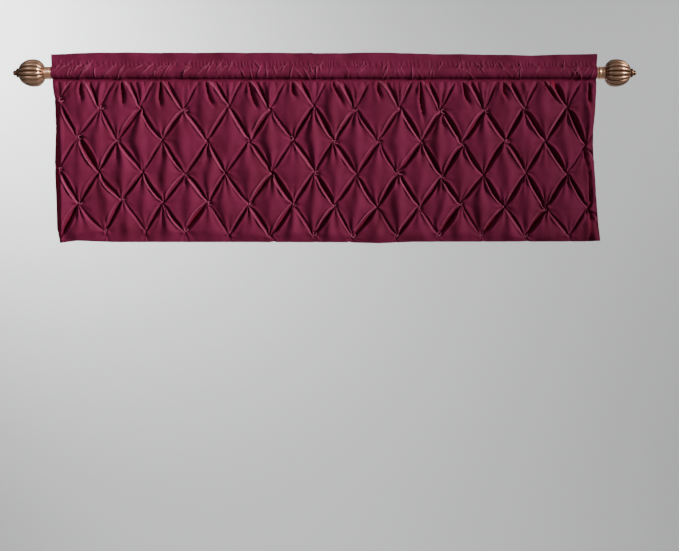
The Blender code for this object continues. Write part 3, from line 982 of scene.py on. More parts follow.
@dataclass
class TuckedPanel:
    """Pinch-tucked cloth below the seam: diamond puffs between staggered rows of tucks, with turned hems.

    A point's lattice counts run along the two ways in which the creases lean. Their sum counts half pitches
    sideways and their difference counts rows downwards.
    """

    pitch: float = 0.1055
    row_pitch: float = 0.0785
    first_even: float = -0.6110
    rows: int = 6
    columns: int = 13
    margin: int = 4
    flat_side: float = 0.100
    shown_side: float = 0.066
    shares_mm: tuple[float, ...] = (
        0, 1.8, 3.6, 5.2, 6.6, 7.8, 8.9, 10.3, 12.2, 14.6, 17.5, 21, 25, 29.5, 34.5, 39.5, 44.5, 50,
    )
    wall: float = 0.0084
    wall_foot: float = 0.0055
    valley: float = 0.0085
    tuck_depth: float = 0.0030
    standing: float = 0.0072
    puff: float = 0.0085
    gap: float = 0.0056
    lip_place: float = 0.0104
    lip_width: float = 0.0027
    # Place, width and share of the painted highlight along each crease's far lip.
    pale_place: float = 0.0097
    pale_width: float = 0.0016
    pale_share: float = 0.36
    outer_gap: float = 0.15
    left_edge: float = -0.6725
    right_edge: float = 0.6755
    top: float = -0.0152
    seam: float = -0.0195
    top_row: float = 0.245
    hem_row: float = 5.175
    side_turn: float = 0.018
    hem_turn: float = 0.014
    fold: float = 0.0016
    fold_start: float = 0.0006
    half_cloth: float = 0.00075
    refined: tuple[tuple[float, float], ...] = ((0.62, 0.050), (0.45, 0.034))
    across_rising: tuple[float, float] = (0.61, -0.79)
    across_falling: tuple[float, float] = (0.79, 0.61)
    fans: tuple[tuple[float, float], ...] = ((0.0042, 0.80), (0.0028, 0.60), (0.0018, 0.45), (0.0018, 0.45))
    seed: int = 11
    low: int = 0
    tuck_x: Array = field(default_factory=lambda: np.zeros(0))
    tuck_z: Array = field(default_factory=lambda: np.zeros(0))
    surface: Array = field(default_factory=lambda: np.zeros((0, 3)))

    def count_at(self, x: float) -> float:
        """Sideways count of a flat place along the rod."""
        return 2.0 * (x - self.first_even) / self.pitch

    def lay_tucks(self) -> None:
        """Fill the lattice of tuck places, with those outside the cloth carried on from their neighbours."""
        low, high = -self.margin, self.columns + self.rows + self.margin
        self.low = low
        count = high - low + 1
        self.tuck_x = np.zeros((count, count))
        self.tuck_z = np.zeros((count, count))
        for first in range(low, high + 1):
            for second in range(low, high + 1):
                row = first - second
                held = min(max(row, 0), self.rows - 1)
                if (held - row) % 2:
                    held = held + 1 if row < 0 else held - 1
                across = (first + second + (row % 2)) // 2
                shown = min(max(across, 0), self.columns - 1)
                x, z = TUCKS_MM[held][shown]
                drop = (row - held) * self.row_pitch
                self.tuck_x[first - low, second - low] = x * MM + (across - shown) * self.pitch
                self.tuck_z[first - low, second - low] = z * MM - drop

    def lattice(self, left: float, right: float, top: float, bottom: float) -> bmesh.types.BMesh:
        """Make the flat lattice, with its lines close together along the creases.

        Args:
            left: Sideways count of the cut edge on the left.
            right: Sideways count of the cut edge on the right.
            top: Downwards count of the upper cut edge.
            bottom: Downwards count of the lower cut edge.

        Returns:
            The lattice, with counts as places: sideways along X and downwards against Z.
        """
        half = np.array(self.shares_mm) * MM / self.flat_side
        shares = np.concatenate([half, 1.0 - half[-2:0:-1]])
        high = self.columns + self.rows - self.low - 1
        lines = np.concatenate([cell + shares for cell in range(self.low, high)])
        count = len(lines)
        first, second = np.meshgrid(lines, lines, indexing="ij")
        spare = 2.4 / len(shares)
        total, row = first + second, first - second
        near = (total > left - spare) & (total < right + spare)
        near &= (row > top - spare) & (row < bottom + spare)
        rows, columns = np.nonzero(near[:-1, :-1] | near[1:, :-1] | near[:-1, 1:] | near[1:, 1:])
        start = rows * count + columns
        quads = np.stack([start, start + count, start + count + 1, start + 1], axis=1)
        used, index = np.unique(quads, return_inverse=True)
        points = np.stack([total.ravel()[used], np.zeros(len(used)), -row.ravel()[used]], axis=1)
        mesh = bpy.data.meshes.new("flat")
        mesh.from_pydata(points.tolist(), [], index.reshape(quads.shape).tolist())
        sheet = bmesh.new()
        sheet.from_mesh(mesh)
        bpy.data.meshes.remove(mesh)
        return sheet

    def flat_mesh(self) -> tuple[Array, list[tuple[int, ...]]]:
        """Cut the flat lattice to the cloth's outline and along the folds of its hems.

        Returns:
            Lattice counts of each point, sideways and downwards, and the faces.
        """
        left = self.count_at(self.left_edge - self.side_turn)
        right = self.count_at(self.right_edge + self.side_turn)
        bottom = self.hem_row + self.hem_turn / self.row_pitch
        sheet = self.lattice(left, right, self.top_row, bottom)
        side_bend = 2.0 * self.fold / self.pitch
        hem_bend = self.fold / self.row_pitch
        bends = (-1.0, -0.4, 0.0, 0.5, 1.0)
        cuts = [(left, -1, True), (right, 1, True)]
        cuts += [(self.count_at(self.left_edge) - step * side_bend, -1, False) for step in bends]
        cuts += [(self.count_at(self.right_edge) + step * side_bend, 1, False) for step in bends]
        for place, way, trim in cuts:
            self.cut(sheet, (place, 0.0, 0.0), (way, 0.0, 0.0), trim)
        cuts = [(self.top_row, -1, True), (bottom, 1, True)]
        cuts += [(self.hem_row + step * hem_bend, 1, False) for step in bends]
        for place, way, trim in cuts:
            self.cut(sheet, (0.0, 0.0, -place), (0.0, 0.0, -way), trim)
        self.refine_top(sheet)
        bmesh.ops.triangulate(sheet, faces=[face for face in sheet.faces if len(face.verts) > 4])
        sheet.verts.index_update()
        flat = np.array([corner.co[:] for corner in sheet.verts])
        faces = [tuple(corner.index for corner in face.verts) for face in sheet.faces]
        sheet.free()
        return np.stack([flat[:, 0], -flat[:, 2]], axis=1), faces

    def cut(self, sheet: bmesh.types.BMesh, place: tuple, way: tuple, trim: bool) -> None:
        """Cut the flat lattice along a line.

        Args:
            sheet: The lattice.
            place: A point of the line.
            way: Direction across it.
            trim: Whether what lies beyond it goes.
        """
        bmesh.ops.bisect_plane(
            sheet,
            geom=list(sheet.verts) + list(sheet.edges) + list(sheet.faces),
            dist=1e-5,
            plane_co=place,
            plane_no=way,
            clear_outer=trim,
        )

    def refine_top(self, sheet: bmesh.types.BMesh) -> None:
        """Halve the wide faces just below the seam, where the small puckers are.

        Args:
            sheet: The lattice.
        """
        for lowest, longest in self.refined:
            wide = []
            for edge in sheet.edges:
                row = -(edge.verts[0].co.z + edge.verts[1].co.z) / 2.0
                if row < lowest and edge.calc_length() > longest:
                    wide.append(edge)
            bmesh.ops.subdivide_edges(sheet, edges=wide, cuts=1, use_grid_fill=True)

    def edge_draws(self, shape: tuple[int, int], seed: int, lean: Lean) -> dict[str, Array]:
        """Width and bow of each crease from the table, and how it differs from the next in the rest.

        Args:
            shape: Size of the lattice.
            seed: Fixed seed.
            lean: Which way the creases lean.

        Returns:
            Arrays of gap, bow, lean, heights of both lips, depth and skew by lattice place.
        """
        draw = np.random.default_rng(seed)
        wide = np.full(shape, self.outer_gap)
        bow = draw.uniform(-0.0016, 0.0016, shape)
        for row, creases in CREASES.items():
            for column, values in enumerate(creases):
                total = 2 * column - row % 2
                first, second = (total + row) // 2 - self.low, (total - row) // 2 - self.low
                if lean is Lean.RISING:
                    second -= 1
                wide[first, second] = values[lean.value]
                bow[first, second] += values[lean.value + 1] * MM
        falling = lean is Lean.FALLING
        low, high = (0.0002, 0.0026) if falling else (0.0004, 0.0030)
        share = np.clip(wide, 0.3, 1.2)
        return {
            "gap": self.gap * wide * draw.uniform(0.85, 1.15, shape),
            "bow": bow,
            "lean": draw.uniform(-0.0030, 0.0030, shape),
            "near": draw.uniform(low, high, shape) * share,
            "far": (draw.uniform(low, high, shape) + (0.0014 if falling else 0.0)) * share,
            "deep": self.valley * np.clip(0.20 + 0.95 * wide, 0.0, 1.8),
            "skew": draw.uniform(-0.16, 0.16, shape),
        }

    def cell_draws(self, shape: tuple[int, int]) -> dict[str, Array]:
        """Draw how each diamond differs from the next.

        Args:
            shape: Size of the lattice.

        Returns:
            Random numbers by lattice place.
        """
        draw = np.random.default_rng(self.seed + 5)
        return {
            "puff": draw.uniform(0.82, 1.18, shape),
            "ridge": draw.uniform(-0.25, 0.35, shape),
            "ridge_high": draw.uniform(0.0006, 0.0054, shape),
            "tilt": draw.uniform(-0.45, 0.45, shape),
            "bend": draw.uniform(-0.45, 0.45, shape),
            "draw": draw.uniform(0.0, 6.0, shape),
        }

    def another(self, draw: Array, turn: int) -> Array:
        """Another random number between 0 and 1 from a diamond's one."""
        value = np.sin(draw * 12.9898 + turn * 78.233) * 43758.5453
        return value - np.floor(value)

    def shown(self, share: Array, near: Array | float, far: Array | float) -> Array:
        """Seen share of a diamond's side at a flat share of it, with the open gaps at its two ends.

        Args:
            share: Flat share.
            near: Gap of the crease where the share is 0.
            far: Gap of the crease where it is 1.

        Returns:
            Seen share.
        """
        result = np.zeros_like(share)
        for flip, gap in ((False, near), (True, far)):
            along = (1.0 - share if flip else share) * self.flat_side
            lip = gap / (2.0 * self.shown_side)
            climb = ease(along / self.wall)
            spread = np.clip((along - self.wall_foot) / (self.flat_side / 2 - self.wall_foot), 0.0, 1.0)
            soft = np.sqrt(spread**2 + 0.0009) - 0.03
            soft = soft / (math.sqrt(1.0009) - 0.03)
            part = lip * climb + (0.5 - lip) * soft
            first = np.where(share < 0.5, part, result)
            result = np.where(share >= 0.5, 1.0 - part, result) if flip else first
        return result

    def spread_out(self, total: Array, row: Array) -> dict:
        """Seen place of points of the lattice, before any relief.

        Args:
            total: Sideways count of each point.
            row: Downwards count of each point.

        Returns:
            Place along X and Z, and what the relief needs to know about each point's diamond and creases.
        """
        first_count, second_count = (total + row) / 2.0, (total - row) / 2.0
        i = np.floor(first_count + 1e-6).astype(int)
        j = np.floor(second_count + 1e-6).astype(int)
        u = np.clip(first_count - i, 0.0, 1.0)
        v = np.clip(second_count - j, 0.0, 1.0)
        i -= self.low
        j -= self.low
        size = self.tuck_x.shape
        rising = self.edge_draws(size, self.seed, Lean.RISING)
        falling = self.edge_draws(size, self.seed + 1, Lean.FALLING)
        falling["lean"] = np.abs(falling["lean"]) * 1.1 + 0.0008
        near_u = {key: value[i, j] for key, value in rising.items()}
        far_u = {key: value[i + 1, j] for key, value in rising.items()}
        near_v = {key: value[i, j] for key, value in falling.items()}
        far_v = {key: value[i, j + 1] for key, value in falling.items()}
        arch_u = np.sin(math.pi * self.shown(u, 0.0, 0.0))
        arch_v = np.sin(math.pi * self.shown(v, 0.0, 0.0))
        shown_u = self.shown(u, near_u["gap"] * arch_v**0.8, far_u["gap"] * arch_v**0.8)
        shown_v = self.shown(v, near_v["gap"] * arch_u**0.8, far_v["gap"] * arch_u**0.8)
        corners = ((i, j), (i + 1, j), (i + 1, j + 1), (i, j + 1))
        weights = (
            (1 - shown_u) * (1 - shown_v),
            shown_u * (1 - shown_v),
            shown_u * shown_v,
            (1 - shown_u) * shown_v,
        )
        return {
            "x": sum(self.tuck_x[place] * weight for place, weight in zip(corners, weights)),
            "z": sum(self.tuck_z[place] * weight for place, weight in zip(corners, weights)),
            "cell": (i, j),
            "sides": (
                (u, arch_v, shown_v, near_u, self.across_rising, "near"),
                (1.0 - u, arch_v, shown_v, far_u, self.across_rising, "far"),
                (v, arch_u, shown_u, near_v, self.across_falling, "near"),
                (1.0 - v, arch_u, shown_u, far_v, self.across_falling, "far"),
            ),
            "shown": (shown_u, shown_v),
        }

    def folds(self, near: Array, far: Array, draws: dict[str, Array], reach: float) -> Array:
        """Folds that fan out from one corner of a diamond.

        Args:
            near: Distance from the corner along one side, as a share of it.
            far: Distance along the other side.
            draws: Random numbers of each point's diamond.
            reach: How far the folds run, as a share of the diamond.

        Returns:
            Height of the folds, between about -1 and 1.
        """
        away = near + far
        turn = (near - far) / np.maximum(away, 1e-6)
        bent = turn + draws["shift"] * (1 - turn * turn)
        wave = np.cos(math.pi * (draws["count"] * bent) + draws["start"])
        sharp = np.sign(wave) * np.abs(wave) ** 0.8
        hold = (1.0 - turn**2) ** 0.7
        return sharp * hold * ease(away / 0.14) * (1.0 - ease((away - 0.2) / reach))

    def ridge(self, across: Array, up: Array, cell: dict[str, Array]) -> Array:
        """Soft ridge that runs down a diamond, with a hollow on both sides.

        Args:
            across: Place across the diamond, from -1 at its left corner to 1 at its right one.
            up: Place up the diamond, from -1 at its bottom corner to 1 at its top one.
            cell: Random numbers of each point's diamond.

        Returns:
            Height of the ridge.
        """
        inside = np.clip(1.0 - np.abs(up), 0.0, 1.0)
        wide = across / (0.14 + 0.86 * inside)
        line = cell["ridge"] + cell["tilt"] * up + cell["bend"] * up * up
        left, right = 0.80 * bump(wide, line - 0.48, 0.26), 0.35 * bump(wide, line + 0.44, 0.22)
        return cell["ridge_high"] * (bump(wide, line, 0.26) - left - right)

    def relief(self, here: dict) -> tuple[Array, Array, Array, Array]:
        """Sideways moves and forward height of the cloth inside the diamonds.

        Args:
            here: What spread_out gives.

        Returns:
            Moves along X and Z, how far the cloth stands out, and its crease value: from 0 to 1 for painted
            shade in the creases, and below 0 for a painted highlight on a lip.
        """
        shown_u, shown_v = here["shown"]
        x_out, z_out, lips, edge_light = (np.zeros_like(shown_u) for _ in range(4))
        dips = []
        for share, arch, along, draws, way, which in here["sides"]:
            distance = share * self.flat_side
            inner = np.clip(1.0 - 2.0 * share, 0.0, 1.0) ** 2
            bowed = np.sin(math.pi * np.clip(along + draws["skew"] * arch, 0, 1))
            move = draws["bow"] * bowed * inner
            move += draws["lean"] * arch * (1.0 - ease(distance / (self.wall * 1.1)))
            x_out += move * way[0]
            z_out += move * way[1]
            deep = self.tuck_depth + (draws["deep"] - self.tuck_depth) * np.sqrt(arch)
            dips.append(deep * (1.0 - ease(distance / (self.wall * 1.12))))
            lips += (1.25 * draws[which] + 0.0005) * arch * bump(distance, self.lip_place, self.lip_width)
            # The far lip of each crease takes a painted highlight.
            if which == "far":
                wear_and_painted_highlight = self.pale_share * np.clip(draws["far"] / 0.0030, 0.10, 1.0) * arch**0.4
                edge_light += wear_and_painted_highlight * bump(distance, self.pale_place, self.pale_width)
        dip = sum(each**3 for each in dips) ** (1.0 / 3.0)
        i, j = here["cell"]
        cell = {key: value[i, j] for key, value in self.cell_draws(self.tuck_x.shape).items()}
        bow_u = np.clip(4.0 * shown_u * (1.0 - shown_u), 0.0, 1.0)
        bow_v = np.clip(4.0 * shown_v * (1.0 - shown_v), 0.0, 1.0)
        up = shown_v - shown_u
        ridge = self.ridge(shown_u + shown_v - 1.0, up, cell)
        ridge *= (bow_u * bow_v) ** 0.4 * np.clip(1.0 - np.abs(up), 0.0, 1.0) ** 0.25
        total = self.puff * cell["puff"] * (bow_u * bow_v) ** 0.62 + ridge + lips
        rest_u, rest_v = 1.0 - shown_u, 1.0 - shown_v
        corners = ((shown_u, rest_v), (rest_u, shown_v), (shown_u, shown_v), (rest_u, rest_v))
        for index, ((near, far), (high, reach)) in enumerate(zip(corners, self.fans)):
            draws = {
                "count": 1.6 + 1.9 * self.another(cell["draw"], 2 + 3 * index),
                "shift": 0.5 * (self.another(cell["draw"], 3 + 3 * index) - 0.5),
                "start": math.tau * self.another(cell["draw"], 4 + 3 * index),
            }
            strength = 0.35 + 0.65 * self.another(cell["draw"], 20 + index)
            total += high * strength * self.folds(near, far, draws, reach)
        # Painted shade in the creases; the painted highlight on the lips takes the value below 0.
        painted_crease_shade = ease(dip / (self.valley * 1.25) - 0.15)
        return x_out, z_out, self.standing + total - dip, np.where(painted_crease_shade > 0.25, painted_crease_shade, painted_crease_shade - edge_light)

    def fit_outline(
        self, here: dict, total: Array, row: Array, from_left: Array, from_right: Array
    ) -> tuple[Array, Array]:
        """Draw the edges of the spread-out cloth to its outline.

        Args:
            here: What spread_out gives.
            total: Sideways count of each point.
            row: Downwards count of each point.
            from_left: Distance from the left edge.
            from_right: Distance from the right edge.

        Returns:
            Place of each point along X and Z.
        """
        left, right = self.count_at(self.left_edge), self.count_at(self.right_edge)
        x, z = here["x"], here["z"]
        at_top = self.spread_out(total, np.full_like(row, self.top_row))["z"]
        at_hem = self.spread_out(total, np.full_like(row, self.hem_row))["z"]
        at_left = self.spread_out(np.full_like(row, left), row)["x"]
        at_right = self.spread_out(np.full_like(row, right), row)["x"]
        z = z + (self.top - at_top) * np.clip(1.0 - (row - self.top_row) / 0.60, 0.0, 1.0) ** 1.5
        z = z + (outline(HEM_MM, x) - at_hem) * np.clip(1.0 - (self.hem_row - row) / 0.16, 0.0, 1.0)
        x = x + (outline(LEFT_EDGE_MM, z) - at_left) * np.clip(1.0 - from_left / 0.012, 0.0, 1.0)
        x = x + (outline(RIGHT_EDGE_MM, z) - at_right) * np.clip(1.0 - from_right / 0.020, 0.0, 1.0)
        return x, z

    def shape(self, total: Array, row: Array) -> Array:
        """Place of points of the lattice on the hanging cloth, fitted to its outline.

        Args:
            total: Sideways count of each point.
            row: Downwards count of each point.

        Returns:
            One place in metres for each point, and its crease value.
        """
        unit = self.pitch / 2.0
        from_left = (total - self.count_at(self.left_edge)) * unit
        from_right = (self.count_at(self.right_edge) - total) * unit
        here = self.spread_out(total, row)
        x, z = self.fit_outline(here, total, row, from_left, from_right)
        x_out, z_out, front, crease = self.relief(here)
        calm = 1.0 - 0.75 * ease((row - 4.9) / 0.28)
        edges = mix(0.30, 1.0, ease(from_left / 0.020)) * mix(0.30, 1.0, ease(from_right / 0.012))
        x = x + x_out * calm * edges
        z = z + z_out * calm * edges
        front = mix(self.standing * 0.75, front, calm * edges)
        front, hollow = SeamFall(self.seam, self.standing).add(x, z, front)
        # The seam's valleys take painted shade here.
        crease = np.where(hollow > 0.05, hollow, crease * calm * edges)
        x, z, front = TuckPinch(self.rows, self.seed + 9).add(x, z, front)
        front, pit_shade = CurlPits().add(x, z, front)
        front, shaded = SideHems().add(z, front, from_left, from_right)
        # Points in the curl pits take painted shade.
        crease = np.clip(np.where(pit_shade > 0.1, 0.4 * pit_shade, crease), -1.0, 1.0)
        crease = np.where(shaded > 0.05, np.maximum(crease, shaded), crease)
        down = self.seam + 0.0004 - z
        rise = 0.55 * ease(down / 0.0060) + 0.45 * ease(down / 0.0300)
        return np.stack([x, -self.half_cloth - front * rise, z, crease], axis=1)

    def place(self, total: Array, row: Array) -> Array:
        """Place of all points, with the hems turned back.

        Args:
            total: Sideways count of each point.
            row: Downwards count of each point.

        Returns:
            One place in metres for each point, and its crease value.
        """
        left, right = self.count_at(self.left_edge), self.count_at(self.right_edge)
        x, y, z, crease = self.shape(np.clip(total, left, right), np.minimum(row, self.hem_row)).T
        turned = np.clip(np.maximum(left - total, total - right) * self.pitch / 2.0, 0.0, 1.0)
        inward = np.where(total < left, 1.0, -1.0)
        x = x + inward * np.maximum(turned - self.fold_start, 0.0)
        z = z + 0.15 * np.maximum(turned - self.fold_start, 0.0)
        behind = np.maximum(0.0, 0.0012 - y) * ease((turned - 0.002) / 0.006)
        y = y + self.fold * ease(turned / self.fold) + behind
        under = np.clip((row - self.hem_row) * self.row_pitch, 0.0, 1.0)
        z = z + np.maximum(under - self.fold_start, 0.0)
        behind = np.maximum(0.0, 0.0014 - y) * ease((under - 0.002) / 0.005)
        y = y + self.fold * ease(under / self.fold) + behind
        crease = np.where(np.maximum(turned, under) > self.fold / 2.0, 0.0, crease)
        return np.stack([x, y, z, crease], axis=1)

    def build(self, material: Material) -> Object:
        """Make the panel.

        Args:
            material: Finish of the cloth.

        Returns:
            The panel's object.
        """
        self.lay_tucks()
        flat, faces = self.flat_mesh()
        points = self.place(flat[:, 0], flat[:, 1])
        self.surface = points[:, :3]
        item = add_mesh("panel_cloth", self.surface, faces, material)
        face_forwards(item)
        add_values(item, "crease", points[:, 3])
        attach(item, BODY)
        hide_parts("tucked_panel")
        return item

    def front_at(self, x: float, z: float, reach: float, share: float) -> float:
        """Find how far out the cloth's surface stands around a place.

        Args:
            x: Place along the rod.
            z: Height.
            reach: How far round it the cloth counts.
            share: Share of the cloth there that stands further out.

        Returns:
            The Y.
        """
        away = np.hypot(self.surface[:, 0] - x, self.surface[:, 2] - z)
        close = self.surface[(away < reach) & (self.surface[:, 1] < -0.001), 1]
        return float(np.quantile(close, share)) if len(close) else -0.008


@dataclass
class Scattered:
    """Small shapes on given points, made by Geometry Nodes; each is turned and sized by its point."""

    name: str
    places: Array
    turns: Array
    sizes: Array

    def values(self) -> dict[str, float | int]:
        """Value of each named size."""
        raise NotImplementedError

    def shape(self, tree: NodeTree, given: Node) -> NodeSocket:
        """Add the nodes of one shape and return its output."""
        raise NotImplementedError

    def build(self, material: Material) -> Object:
        """Make all the shapes as one piece.

        Args:
            material: Finish of the shapes.

        Returns:
            The piece's object.
        """
        values = self.values()
        tree, given, result = new_tree(self.name, values)
        turn, size = (
            add_node(tree, "GeometryNodeInputNamedAttribute", {"data_type": kind}, {"Name": label})
            for label, kind in (("turn", "FLOAT_VECTOR"), ("size", "FLOAT"))
        )
        way = add_node(tree, "FunctionNodeEulerToRotation", None, {"Euler": turn.outputs["Attribute"]})
        spread = add_node(tree, "GeometryNodeInstanceOnPoints", None, {
            "Points": given.outputs["Geometry"],
            "Instance": self.shape(tree, given),
            "Rotation": way.outputs["Rotation"],
            "Scale": size.outputs["Attribute"],
        })
        end_tree(tree, spread.outputs["Instances"], material, result)
        item = add_mesh(self.name, self.places, [], material)
        turns = item.data.attributes.new("turn", "FLOAT_VECTOR", "POINT")
        turns.data.foreach_set("vector", self.turns.ravel())
        add_values(item, "size", self.sizes)
        item = run_tree(item, tree, values)
        face_outwards(item)
        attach(item, BODY)
        return item


@dataclass
class TuckCurls(Scattered):
    """Curled ears of cloth that stand beside the tucks where a pinch was caught by its stitch."""

    start_radius: float = 0.0022
    end_radius: float = 0.0046
    rotations: float = 0.78
    thickness: float = 0.00105
    stretch: float = 1.50
    resolution: int = 26
    # Share of painted highlight laid over the curls.
    wear_and_painted_highlight: float = 0.50

    def values(self) -> dict[str, float | int]:
        """Value of each named size."""
        return {
            "Start Radius": self.start_radius,
            "End Radius": self.end_radius,
            "Rotations": self.rotations,
            "Thickness": self.thickness,
            "Stretch": self.stretch,
            "Resolution": self.resolution,
        }

    def shape(self, tree: NodeTree, given: Node) -> NodeSocket:
        """Add the nodes of a hook of rolled cloth that thins towards both ends, flat in the XZ plane.

        Args:
            tree: Tree that takes the nodes.
            given: The tree's input node.

        Returns:
            Output that holds the hook.
        """
        labels = ("Resolution", "Rotations", "Start Radius", "End Radius")
        sizes = {label: given.outputs[label] for label in labels}
        hook = add_node(tree, "GeometryNodeCurveSpiral", None, {**sizes, "Height": 0.0})
        wider = given.outputs["Stretch"]
        scale = add_node(tree, "ShaderNodeCombineXYZ", None, {"X": wider, "Y": 1.0, "Z": 1.0})
        flat = add_node(tree, "GeometryNodeTransform", None, {
            "Geometry": hook.outputs["Curve"],
            "Rotation": (math.pi / 2.0, 0.0, 0.0),
            "Scale": scale.outputs["Vector"],
        })
        along = add_node(tree, "GeometryNodeSplineParameter").outputs["Factor"]
        arch = add_math(tree, "SINE", (add_math(tree, "MULTIPLY", (along, math.pi)),))
        full = add_math(tree, "MULTIPLY_ADD", (arch, 0.85, 0.15))
        thick = given.outputs["Thickness"]
        ring = add_node(tree, "GeometryNodeCurvePrimitiveCircle", None, {"Resolution": 9, "Radius": thick})
        body = add_node(tree, "GeometryNodeCurveToMesh", None, {
            "Curve": flat.outputs["Geometry"],
            "Profile Curve": ring.outputs["Curve"],
            "Scale": full,
            "Fill Caps": True,
        })
        return body.outputs["Mesh"]

    def build(self, material: Material) -> Object:
        """Make all the curls, with a painted highlight over them as on the flat cloth's lips.

        Args:
            material: Finish of the cloth.

        Returns:
            The curls' object.
        """
        item = super().build(material)
        # Painted highlight over all the curls, through the crease attribute.
        add_values(item, "crease", np.full(len(item.data.vertices), -self.wear_and_painted_highlight))
        return item


@dataclass
class TuckTacks(Scattered):
    """Short hand stitches that hold the tucks."""

    length: float = 0.0042
    radius: float = 0.00032

    def values(self) -> dict[str, float | int]:
        """Value of each named size."""
        return {"Length": self.length, "Radius": self.radius}

    def shape(self, tree: NodeTree, given: Node) -> NodeSocket:
        """Add one stitch along X."""
        return stitch_shape(tree, given)


def stitch_shape(tree: NodeTree, given: Node) -> NodeSocket:
    """Add the nodes of one stitch along X, a long ball of thread.

    Args:
        tree: Tree that takes the nodes.
        given: The tree's input node, with Length and Radius among its outputs.

    Returns:
        Output that holds the stitch.
    """
    half, thick = add_math(tree, "MULTIPLY", (given.outputs["Length"], 0.5)), given.outputs["Radius"]
    size = add_node(tree, "ShaderNodeCombineXYZ", None, {"X": half, "Y": thick, "Z": thick})
    ball = add_node(tree, "GeometryNodeMeshUVSphere", None, {"Segments": 6, "Rings": 5, "Radius": 1.0})
    upright = add_node(
        tree,
        "GeometryNodeTransform",
        None,
        {"Geometry": ball.outputs["Mesh"], "Rotation": (0.0, math.pi / 2.0, 0.0)},
    )
    thin = add_node(
        tree,
        "GeometryNodeTransform",
        None,
        {"Geometry": upright.outputs["Geometry"], "Scale": size.outputs["Vector"]},
    )
    return thin.outputs["Geometry"]


@dataclass
class StitchRow:
    """Row of machine stitches along a line, made by Geometry Nodes."""

    name: str
    line: Array
    pitch: float = 0.0032
    length: float = 0.0027
    radius: float = 0.00028
    wander: float = 0.00012
    seed: int = 7

    def build(self, material: Material) -> Object:
        """Make the row.

        Args:
            material: Finish of the thread.

        Returns:
            The row's object.
        """
        values = {
            "Pitch": self.pitch,
            "Length": self.length,
            "Radius": self.radius,
            "Wander": self.wander,
            "Seed": self.seed,
        }
        tree, given, result = new_tree(self.name, values)
        curve = add_node(tree, "GeometryNodeMeshToCurve", None, {"Mesh": given.outputs["Geometry"]})
        even = add_node(
            tree,
            "GeometryNodeResampleCurve",
            {"mode": "LENGTH"},
            {"Curve": curve.outputs["Curve"], "Length": given.outputs["Pitch"]},
        )
        way = add_node(
            tree,
            "FunctionNodeAlignRotationToVector",
            {"axis": "X"},
            {"Vector": add_node(tree, "GeometryNodeInputTangent").outputs["Tangent"]},
        )
        spread = add_node(tree, "GeometryNodeInstanceOnPoints", None, {
            "Points": even.outputs["Curve"],
            "Instance": stitch_shape(tree, given),
            "Rotation": way.outputs["Rotation"],
        })
        chance = add_node(
            tree,
            "FunctionNodeRandomValue",
            {"data_type": "FLOAT_VECTOR"},
            {0: (-1.0, -0.3, -1.0), 1: (1.0, 0.3, 1.0), "Seed": given.outputs["Seed"]},
        )
        step = add_node(
            tree,
            "ShaderNodeVectorMath",
            {"operation": "SCALE"},
            {0: chance.outputs[0], "Scale": given.outputs["Wander"]},
        )
        moved = add_node(
            tree,
            "GeometryNodeTranslateInstances",
            None,
            {"Instances": spread.outputs["Instances"], "Translation": step.outputs["Vector"]},
        )
        end_tree(tree, moved.outputs["Instances"], material, result)
        steps = [(index, index + 1) for index in range(len(self.line) - 1)]
        item = run_tree(add_mesh(self.name, self.line, [], material, steps), tree, values)
        face_outwards(item)
        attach(item, BODY)
        return item


